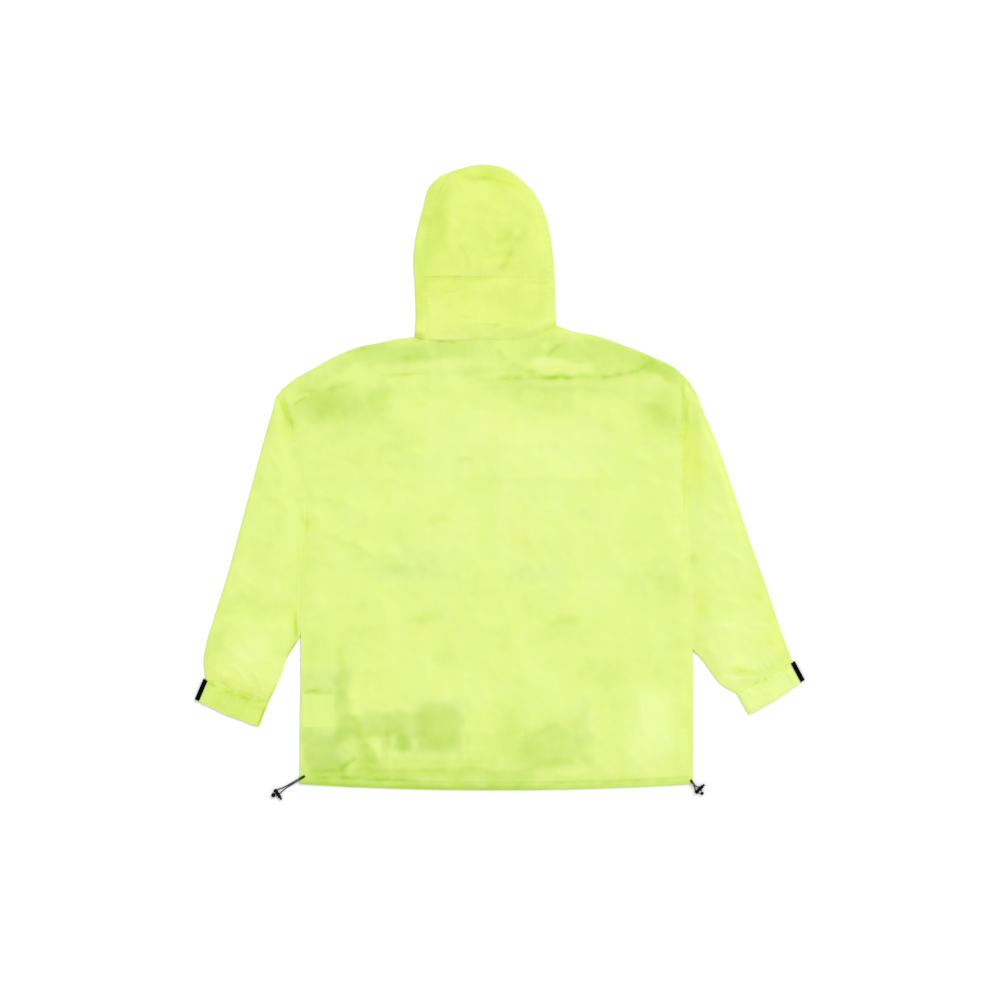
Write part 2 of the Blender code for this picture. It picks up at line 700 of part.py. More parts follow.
def make_hood(body, neon):
    """The hood in profile: two mirrored sides, each a stand, a crown and a brim casing."""
    line = brim_inner()
    neck = body[-1]
    xs = [p.x for p in neck]
    ys = [p.y for p in neck]

    def neck_at(x):
        return Point(x, float(np.interp(x, xs, ys)) + SEAM)

    start = neck_at(line[0].x)
    brim_edge = [Point(line[0].x, start.y)] + line[1:]
    outer = [neck_at(FACE_EDGE[0].x + 0.2)] + FACE_EDGE[1:]
    outer_run = curve(outer, spread(BRIM_ROWS))
    inner_run = curve(brim_edge, spread(BRIM_ROWS))
    wide = inner_run[0].x - outer_run[0].x
    bottom = [neck_at(outer_run[0].x + wide * f) for f in spread(BRIM_COLUMNS)]
    top = curve([outer_run[-1], inner_run[-1]], spread(BRIM_COLUMNS))
    brim = patch(bottom, top, outer_run, inner_run)

    def line_x(y):
        return float(np.interp(y, [p.y for p in inner_run], [p.x for p in inner_run])) + SEAM

    low = HOOD_SEAM_Y - SEAM / 2
    high = HOOD_SEAM_Y + SEAM / 2
    nape_low = heights(NAPE_EDGE, neck_at(NAPE_EDGE[0].x).y, low, COLLAR_ROWS)
    face_low = [Point(line_x(y), y) for y in np.linspace(start.y, low, COLLAR_ROWS + 1)]
    wide = nape_low[0].x - face_low[0].x
    neck_run = [neck_at(face_low[0].x + wide * f) for f in spread(HOOD_COLUMNS)]
    seam_run = curve([face_low[-1], nape_low[-1]], spread(HOOD_COLUMNS))
    collar = patch(neck_run, seam_run, face_low, nape_low)

    nape_high = heights(NAPE_EDGE, high, NAPE_EDGE[-1].y, CROWN_ROWS)
    tip = inner_run[-1]
    face_high = [Point(line_x(y), y) for y in np.linspace(high, tip.y - 0.2, CROWN_ROWS + 1)]
    crown_steps = [CROWN_START + (1 - CROWN_START) * f for f in spread(HOOD_COLUMNS)]
    crown_line = curve(CROWN_EDGE, crown_steps)
    crown_line[0] = face_high[-1]
    seam_high = curve([face_high[0], nape_high[0]], spread(HOOD_COLUMNS))
    crown = patch(seam_high, crown_line, face_high, nape_high)

    def flat(x, y, u, v):
        return 0.0

    def crown_under(x, y, u, v):
        return CLOTH + SEAM + air(x, y) * edge_fade(u, v, CROWN_FADE)

    def collar_under(x, y, u, v):
        return CLOTH + SEAM + COLLAR_SHARE * air(x, y) * edge_fade(u, v, COLLAR_FADE)

    def brim_under(x, y, u, v):
        return CLOTH + SEAM + BRIM_BELLY * math.sin(math.pi * u) * edge_fade(0.5, v, BRIM_FADE)

    pieces = [
        ("hood_crown", crown, crown_under),
        ("hood_collar", collar, collar_under),
        ("hood_brim", brim, brim_under),
    ]
    for name, grid, under in pieces:
        sheet(f"{name}_lower", grid, flat, CLOTH, neon)
        sheet(f"{name}_upper", grid, under, CLOTH, neon)


def round_bar(radius, start, end, sides, softened=0.0):
    """A bar along +X with softened ends."""
    bm = bmesh.new()
    turn = Matrix.Rotation(math.radians(90), 4, "Y")
    place = Matrix.Translation(((start + end) / 2, 0, 0)) @ turn
    bmesh.ops.create_cone(
        bm, cap_ends=True, segments=sides, radius1=radius, radius2=radius,
        depth=end - start, matrix=place,
    )
    if softened:
        rims = [e for e in bm.edges if abs(e.verts[0].co.x - e.verts[1].co.x) < 0.01]
        bmesh.ops.bevel(
            bm, geom=rims, offset=softened, segments=2, profile=0.5, affect="EDGES", material=-1,
        )
    return bm


def cut(thing, name, bm):
    """Takes the shape in bm away from thing."""
    cutter = finished(name, bm, thing.data.materials[0], smooth=False)
    cutter.parent = thing
    cutter.hide_render = True
    cutter.display_type = "WIRE"
    change = thing.modifiers.new(name, "BOOLEAN")
    change.operation = "DIFFERENCE"
    change.object = cutter


def make_lock(gear, plastic):
    """A sprung cord lock and its end bead: the barrel's axis is +X before it is turned."""
    place = Matrix.Translation(Vector((gear.lock_x, gear.lock_y, LOCK_RADIUS)) * MM)
    place = place @ Matrix.Rotation(math.radians(gear.turn), 4, "Z")
    barrel = finished(
        f"cord_lock_{gear.name}", round_bar(LOCK_RADIUS, LOCK_START, LOCK_END, 20, LOCK_SOFT), plastic
    )
    bore = round_bar(PLUNGER_RADIUS + SEAM, BORE_FLOOR, LOCK_END + 1, 16)
    cut(barrel, f"bore_{gear.name}", bore)
    for mark, at in (("a", -HOLE_AT), ("b", HOLE_AT)):
        hole = bmesh.new()
        through = Matrix.Translation((at, 0, 0)) @ Matrix.Rotation(math.radians(90), 4, "X")
        bmesh.ops.create_cone(
            hole, cap_ends=True, segments=12, radius1=HOLE_RADIUS, radius2=HOLE_RADIUS,
            depth=4 * LOCK_RADIUS, matrix=through,
        )
        cut(barrel, f"hole_{gear.name}_{mark}", hole)
    barrel.matrix_world = place

    plunger = round_bar(PLUNGER_RADIUS, PLUNGER_START, HEAD_START + 0.2, 16)
    stem = finished(f"lock_plunger_{gear.name}", plunger, plastic)
    head = round_bar(HEAD_RADIUS, HEAD_START, HEAD_START + HEAD_LENGTH, 16, HEAD_SOFT)
    cap = finished(f"head_{gear.name}", head, plastic)
    cap.parent = stem
    cap.hide_render = True
    cap.display_type = "WIRE"
    union = stem.modifiers.new("head", "BOOLEAN")
    union.operation = "UNION"
    union.object = cap
    stem.matrix_world = place


def strand_route(gear, side):
    """One strand's way from the eyelet in the tunnel, through the lock to the end bead."""
    turn = math.radians(gear.turn)
    axis = Vector((math.cos(turn), math.sin(turn), 0)) * side
    lock = Vector((gear.lock_x, gear.lock_y, LOCK_RADIUS))
    exit_at = Vector((gear.exit_x, gear.exit_y, HEM_TOP + STRAND_RADIUS + SEAM))
    heading = Vector((-axis.y, axis.x, 0))
    if heading.dot(lock - exit_at) < 0:
        heading = -heading
    corner = BODY_LEFT[0].x if gear.lock_x < 0 else BODY_RIGHT[0].x
    past_corner = abs(corner) + 2 * STRAND_RADIUS - abs(gear.exit_x)
    way = lock - heading * (LOCK_RADIUS + ENTRY_GAP) - exit_at
    over = exit_at + way * (past_corner / abs(way.x))
    over.z = exit_at.z
    entry = exit_at + way
    free = (entry - over).length
    dip = max(STRAND_RADIUS + FLOOR_GAP, LOCK_RADIUS - STRAND_SAG * free)
    beside = STRAND_RADIUS + SEAM / 2
    route = [exit_at + axis * beside, over + axis * beside]
    for row in SAGGING:
        spot = over.lerp(entry, row.share) + axis * beside * row.apart
        spot.z = dip + (over.z - dip) * row.level
        route.append(spot)
    bead = lock + heading * gear.end_far + axis * side * gear.end_along
    bead.z = max(gear.end_radius, LOCK_RADIUS)
    grip = min(BEAD_GRIP * gear.end_radius, HOLE_AT - SEAM)
    stop = math.sqrt(gear.end_radius**2 - (grip - STRAND_RADIUS) ** 2) + SEAM
    route += [entry + axis * HOLE_AT, lock + axis * HOLE_AT]
    route.append(lock + axis * HOLE_AT + heading * (LOCK_RADIUS + SEAM))
    end = bead + axis * grip - heading * stop
    end.z = LOCK_RADIUS
    route.append(end)
    return route, bead


def smooth_path(route, step):
    """Points a step apart on a smooth curve through the route."""
    knots = np.array([tuple(p) for p in route])
    reach = np.linalg.norm(np.diff(knots, axis=0), axis=1)
    at = np.concatenate([[0.0], np.cumsum(reach)])
    slope = np.gradient(knots, at, axis=0)
    count = max(round(at[-1] / step), 6)
    points = []
    for k in range(count + 1):
        s = at[-1] * k / count
        i = min(int(np.searchsorted(at, s, side="right")) - 1, len(reach) - 1)
        h = reach[i]
        t = (s - at[i]) / h
        start = (2 * t**3 - 3 * t**2 + 1) * knots[i] + (t**3 - 2 * t**2 + t) * h * slope[i]
        end = (3 * t**2 - 2 * t**3) * knots[i + 1] + (t**3 - t**2) * h * slope[i + 1]
        points.append(start + end)
    return points


def make_cords(gear, cord, plastic):
    for mark, side in (("a", -1), ("b", 1)):
        route, bead = strand_route(gear, side)
        points = smooth_path(route, 2 * 2 * STRAND_RADIUS)
        data = bpy.data.curves.new(f"hem_cord_{gear.name}_{mark}", "CURVE")
        data.dimensions = "3D"
        data.bevel_depth = STRAND_RADIUS * MM
        data.bevel_resolution = 2
        data.use_fill_caps = True
        line = data.splines.new("POLY")
        line.points.add(len(points) - 1)
        for knot, spot in zip(line.points, points):
            knot.co = (*(spot * MM), 1.0)
        data.materials.append(cord)
        thing = bpy.data.objects.new(data.name, data)
        bpy.context.scene.collection.objects.link(thing)
    ball = bmesh.new()
    bmesh.ops.create_uvsphere(ball, u_segments=14, v_segments=8, radius=gear.end_radius)
    bmesh.ops.translate(ball, vec=bead, verts=ball.verts)
    finished(f"cord_end_{gear.name}", ball, plastic)


def build():
    clear_scene()
    neon = material("neon_nylon", NEON)
    webbing = material("black_webbing", BLACK_WEBBING)
    cord = material("black_cord", BLACK_CORD)
    plastic = material("black_plastic", BLACK_PLASTIC)
    white = material("label_white", LABEL_WHITE)
    body = make_body(neon, white)
    make_hem(neon)
    make_sleeve(-1, SLEEVE_LEFT_OUTER, SLEEVE_LEFT_INNER, body, neon)
    make_sleeve(1, SLEEVE_RIGHT_OUTER, SLEEVE_RIGHT_INNER, body, neon)
    make_cuff(-1, CUFF_LEFT, neon, webbing)
    make_cuff(1, CUFF_RIGHT, neon, webbing)
    make_hood(body, neon)
    for gear in HARDWARE:
        make_lock(gear, plastic)
        make_cords(gear, cord, plastic)


build()
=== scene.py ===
"""Finish of an anorak pullover in thin neon nylon, laid flat with its back up.

Every table is in millimetres, on the frame's own axes: +X is the wearer's right, +Y
runs from the hem to the hood and +Z is up. Finished meshes are in metres.
"""

import math
from collections import namedtuple

import bmesh
import bpy
import numpy as np
from bpy.props import FloatProperty, FloatVectorProperty, PointerProperty
from bpy.types import Operator, Panel, PropertyGroup
from mathutils import Matrix, Vector, noise


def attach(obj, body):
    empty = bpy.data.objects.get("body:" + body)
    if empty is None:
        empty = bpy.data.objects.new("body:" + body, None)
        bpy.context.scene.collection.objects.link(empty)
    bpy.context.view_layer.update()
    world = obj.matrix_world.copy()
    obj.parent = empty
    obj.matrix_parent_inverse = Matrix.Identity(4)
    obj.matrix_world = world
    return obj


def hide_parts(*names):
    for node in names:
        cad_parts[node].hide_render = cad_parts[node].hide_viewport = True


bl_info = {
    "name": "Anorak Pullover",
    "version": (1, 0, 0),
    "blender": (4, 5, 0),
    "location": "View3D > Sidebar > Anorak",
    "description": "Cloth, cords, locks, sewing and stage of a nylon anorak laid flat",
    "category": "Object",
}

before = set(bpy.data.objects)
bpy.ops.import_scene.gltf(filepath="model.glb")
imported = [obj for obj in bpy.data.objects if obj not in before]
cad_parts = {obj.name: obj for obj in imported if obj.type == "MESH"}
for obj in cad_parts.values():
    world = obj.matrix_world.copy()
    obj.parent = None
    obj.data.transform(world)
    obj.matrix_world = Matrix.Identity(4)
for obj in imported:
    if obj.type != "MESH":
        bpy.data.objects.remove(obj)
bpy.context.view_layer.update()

MM = 0.001
BODY = "garment"  # the frame's body that carries every cloth piece
WORDS = {-1: "left", 1: "right"}  # the wearer's sides, by the sign of X

# How the cloths lie on each other.
CLOTH = 1.0  # wall of the frame's cloth solids
SEAM = 0.3  # gap that parts two of them
FLAT = 2 * CLOTH + SEAM
ROOM = 3.3  # most air between two cloths
LAP = 0.8  # how far a finished panel runs on beneath the one that it is sewn to
DIP = 0.5  # and how deep it goes down there
EDGE_LOW = 0.8  # height of the front's rim where the back is sewn to it
EDGE_HIGH = 1.5  # and of the back's own rim there
TURN = 3.0  # how far in from a sewn edge the cloth has turned over
CLEAR = 0.05  # gap that parts the front's rim from the sleeve it lies on
RUMPLE_FADE = 9.0  # how far in from an edge the rumpling has its full height
LOWER_RUMPLE = 0.9  # highest that a cloth on the floor rises
LOWER_LOOK = 0.4  # share of the tones that a lower cloth has
RIDGE_PAINTED_LIGHT = 0.12  # painted light: how much a ridge brightens for each millimetre of its height
STEEP = 0.45  # width of a crease's steep side, as a share of its soft side
CRISPEST = 6.0  # most a tone's place may be squared off

# The sleeves, whose inner parts run under the body's sides.
UNDERARM_Y = -116.0
UNDERARM_TURN = 12.0  # how far the armhole's lower end turns in beneath the body
SLEEVE_TURN = 2.6  # radius that a sleeve's edges turn over with
PRESSED = 0.9  # height of a sleeve where the body lies on it
SLEEVE_LIFT = PRESSED + SEAM
MEETING = 0.5  # how far the sleeve rises to meet the body's edge beside it
EDGE_RISE = 0.8  # and how much higher the back's rim is there
EDGE_PAINTED_LIGHT = 0.6  # painted light that both get along that edge, lifting the shade beside the back's rim

# The hem and the hood.
HEM_TUNNEL = 15.0  # its height, up the body
HEM_BOW = 10.2  # how far the hem's middle hangs below its corners
HEM_WALL = 1.5
HEM_TOP = 2 * HEM_WALL + SEAM
HEM_STEP = 0.55  # how much the tunnel's thickness lifts the back beside it
HEM_GROOVE = 0.7  # depth of its darkest creases
HEM_LOOK = (0.6, 0.3)  # extra painted shade (tone) and warmth along them
HOOD_SEAM_Y = 341.3
BRIM = 20.0
BRIM_TURN = 0.6
BRIM_END = 0.12  # share of the crown's edge that the brim's casing takes

# Cuffs, tabs and the label.
CUFF_WAVES = 14
CUFF_SWELL = 1.3  # how high a gather stands
CUFF_SHARE = {"left": 0.35, "right": 0.18}  # how far each cuff is drawn in
CUFF_BOW = 2.6  # how far its end bows inwards
CUFF_CRINKLE = 1.6  # its rumpling, as a share of the other cloths'
CUFF_WALL = 1.6  # and its wall
CUFF_TURN = 2.2
GATHER_WIDE = 12.0  # how far from its seam the gathered cloth is marked
GATHER_LOOK = (-0.25, 0.4)  # tone and warmth of such a mark
TAB_WALL = 1.0
TAB_GRIP = 4.3  # how far a tab laps over the cuff
TAB_LOOP = 2.8  # and how far it stands out beyond it
RIB = 1.1  # from one rib of the webbing to the next
RIB_DEPTH = 0.07
LABEL_WALL = 0.8

# Cords.
STRAND_RADIUS = 0.95
STRAND_SIDES = 18
STRAND_STEP = 0.35  # from one ring of a strand's mesh to the next
BRAID_YARNS = 4
BRAID_LAY = 3.4  # length in which a yarn of the braid goes once round
BRAID_DEPTH = 0.07
BEAD_GRIP = 0.9  # how far apart the strands enter their bead, as a share of its radius
EYELET = 2.1  # radius of the ring of stitches that the cord leaves by
EYELET_STITCHES = 22
LEAD_IN = 2.6  # how far back inside the tunnel each strand begins
LEAD_DROP = 1.8  # and how far below the eyelet
LOCK_RADIUS = 2.9
PLUNGER_TRAVEL = 2.4

# Columns and rows of each grid.
BACK_STEPS = (200, 226)
FRONT_STEPS = (118, 128)
HEM_STEPS = (25, 300)
SLEEVE_STEPS = (74, 166)
CUFF_STEPS = (150, 34)
BRIM_STEPS = (24, 150)
COLLAR_STEPS = (108, 58)
CROWN_STEPS = (108, 94)
LABEL_STEPS = 36

# Ripples that the stitches draw up: edge, pitch and depth.
BACK_PUCKERS = [
    ("bottom", 9.5, 0.35), ("top", 13.0, 0.3), ("left", 12.0, 0.25), ("right", 14.0, 0.25),
]
HOOD_PUCKERS = [("bottom", 8.5, 0.25), ("right", 10.0, 0.25), ("top", 8.5, 0.2)]

Point = namedtuple("Point", "x y")
Fold = namedtuple("Fold", "x0 y0 x1 y1 width rise")
Crease = namedtuple("Crease", "x0 y0 x1 y1 bend width rise tone")
Crinkle = namedtuple("Crinkle", "size depth")
Tone = namedtuple("Tone", "x y long tall turn crisp tone warm")
Dense = namedtuple("Dense", "at wide share")
Sag = namedtuple("Sag", "share level apart")
Window = namedtuple("Window", "low high soft")
Hardware = namedtuple(
    "Hardware", "name exit_x exit_y lock_x lock_y turn end_radius end_far end_along"
)
Edges = namedtuple("Edges", "left right bottom top")
LONG_SIDES = ("left", "right")
ENDS = ("bottom", "top")
Turned = namedtuple("Turned", "x radius")


def line_of(*spots):
    """A line of points."""
    return [Point(*spot) for spot in spots]


# The outline, as the frame's solids have it.
BODY_LEFT = line_of(
    (-340.4, -522.3), (-340.0, -420.0), (-337.8, -305.0), (-338.4, -209.5),
    (-334.5, -133.0), (-331.9, -73.5), (-337.9, -5.5), (-348.1, 54.0),
    (-360.0, 105.0), (-372.6, 146.5),
)
BODY_RIGHT = line_of(
    (328.5, -522.3), (327.7, -277.5), (323.4, -175.5), (316.6, -82.0),
    (313.2, 3.0), (315.8, 62.5), (320.0, 130.5), (324.9, 158.9),
)
SHOULDER_LEFT = line_of(
    (-372.6, 146.5), (-354.9, 161.6), (-320.9, 181.9), (-283.5, 202.8),
    (-232.5, 222.4), (-205.0, 227.6), (-180.0, 233.2), (-145.8, 238.0),
)
NECK = line_of(
    (-145.8, 238.0), (-113.5, 231.4), (-26.8, 232.5), (34.4, 234.2),
    (68.4, 242.7), (95.9, 257.6),
)
SHOULDER_RIGHT = line_of(
    (95.9, 257.6), (122.8, 247.8), (165.3, 239.3), (209.5, 224.0),
    (260.5, 203.6), (299.0, 184.2), (324.9, 158.9),
)
FACE_EDGE = line_of(
    (-144.6, 238.6), (-142.6, 266.5), (-143.6, 317.5), (-146.2, 375.3),
    (-143.2, 402.5), (-130.2, 456.9), (-119.0, 494.0), (-101.6, 511.3),
)
CROWN_EDGE = line_of(
    (-101.6, 511.3), (-71.0, 522.9), (-26.8, 531.2), (14.0, 522.3),
    (44.6, 497.7), (58.2, 484.1),
)
NAPE_EDGE = line_of(
    (95.9, 258.2), (93.9, 317.5), (90.5, 375.3), (81.9, 429.7), (72.6, 456.9),
    (58.2, 484.1),
)
SLEEVE_LEFT_OUTER = line_of(
    (-373.2, 146.0), (-379.0, 138.4), (-385.4, 116.0), (-395.6, 81.2),
    (-417.8, -0.4), (-439.9, -82.0), (-462.0, -163.6), (-487.5, -245.2),
    (-499.4, -286.0), (-503.6, -311.0), (-500.6, -345.0),
)
SLEEVE_LEFT_INNER = line_of(
    (-333.6, UNDERARM_Y), (-321.0, -192.5), (-327.7, -240.1), (-340.9, -273.4),
    (-360.8, -306.4), (-375.6, -345.5), (-394.8, -386.3),
)
SLEEVE_RIGHT_OUTER = line_of(
    (325.4, 158.4), (334.6, 142.4), (341.2, 124.5), (367.6, 60.8),
    (396.5, -20.8), (423.4, -102.4), (452.2, -183.6), (479.8, -265.6),
    (498.5, -315.4),
)
SLEEVE_RIGHT_INNER = line_of(
    (319.3, UNDERARM_Y), (303.5, -192.5), (311.0, -250.0), (329.4, -295.8),
    (344.2, -310.6), (355.9, -327.0), (378.0, -354.5), (402.0, -368.0),
)
CUFF_LEFT = line_of(
    (-500.6, -345.0), (-394.8, -386.3), (-515.3, -379.8), (-410.0, -424.6),
)
CUFF_RIGHT = line_of(
    (498.5, -315.4), (402.0, -368.0), (515.5, -347.2), (423.4, -404.8),
)

# The main folds, as the frame's solids have them.
FOLDS = [Fold(*row) for row in (
    (0.4, 166.2, 144.9, 167.9, 13.0, 1.5),
    (144.9, 167.9, 265.6, 195.1, 13.0, 1.5),
    (0.0, 186.0, 150.0, 188.0, 16.0, -0.9),
    (-223.9, 195.1, -47.2, 198.5, 15.0, 0.9),
    (-200.0, 171.0, -30.0, 171.0, 14.0, -0.6),
    (-303.9, -93.9, -207.0, -141.5, 18.0, 1.4),
    (-310.7, -34.4, -222.3, -66.7, 16.0, 1.1),
    (-290.0, -20.0, -180.0, -20.0, 24.0, -0.8),
    (138.1, 118.6, 194.2, 91.4, 16.0, 1.0),
    (-30.2, 3.0, 153.4, -5.5, 22.0, 1.1),
    (-224.0, -150.0, -47.2, -173.8, 22.0, 1.1),
    (218.0, -165.3, 290.0, -170.4, 18.0, 1.0),
    (82.0, -253.7, 136.4, -245.2, 18.0, 0.9),
    (-278.4, -309.8, -263.1, -389.7, 17.0, 1.3),
    (-263.1, -389.7, -198.5, -486.6, 17.0, 1.3),
    (144.9, -365.9, 153.4, -440.0, 18.0, 1.2),
    (-54.0, -374.4, -54.0, -478.1, 14.0, 1.0),
    (46.3, -398.2, 46.3, -478.1, 14.0, 0.9),
    (250.0, -380.0, 285.0, -480.0, 26.0, 1.3),
    (-461.0, -255.0, -400.0, -330.0, 30.0, 1.6),
    (-455.0, -205.0, -350.0, -235.0, 22.0, -1.2),
    (-385.0, 110.0, -362.0, 40.0, 16.0, 1.0),
    (-400.0, 0.0, -380.0, -130.0, 24.0, 1.0),
    (350.0, 110.0, 345.0, 10.0, 18.0, 1.1),
    (390.0, -60.0, 360.0, -170.0, 24.0, 1.0),
    (405.0, -262.0, 450.0, -285.0, 24.0, 1.5),
    (22.0, 383.0, 2.0, 345.0, 14.0, 1.2),
    (-70.0, 262.0, 18.0, 256.0, 14.0, 1.0),
    (-95.0, 430.0, -60.0, 360.0, 24.0, 0.9),
    (20.0, 470.0, 60.0, 400.0, 22.0, 1.0),
)]
SLEEVE_UNDER = Window(-310.0, -80.0, 60.0)  # where a sleeve lies beneath the body, along Y
LIFT_WIDE = 26.0  # how far in from the body's side it lifts the cloths in full
LIFT_FADE = 42.0  # and the width over which they come down again
LABEL_EASE = 2.0  # how closely the thin back lies down round the label
LABEL_X = Window(-336.0, -281.8, LABEL_EASE)
LABEL_Y = Window(-425.5, -371.0, LABEL_EASE)
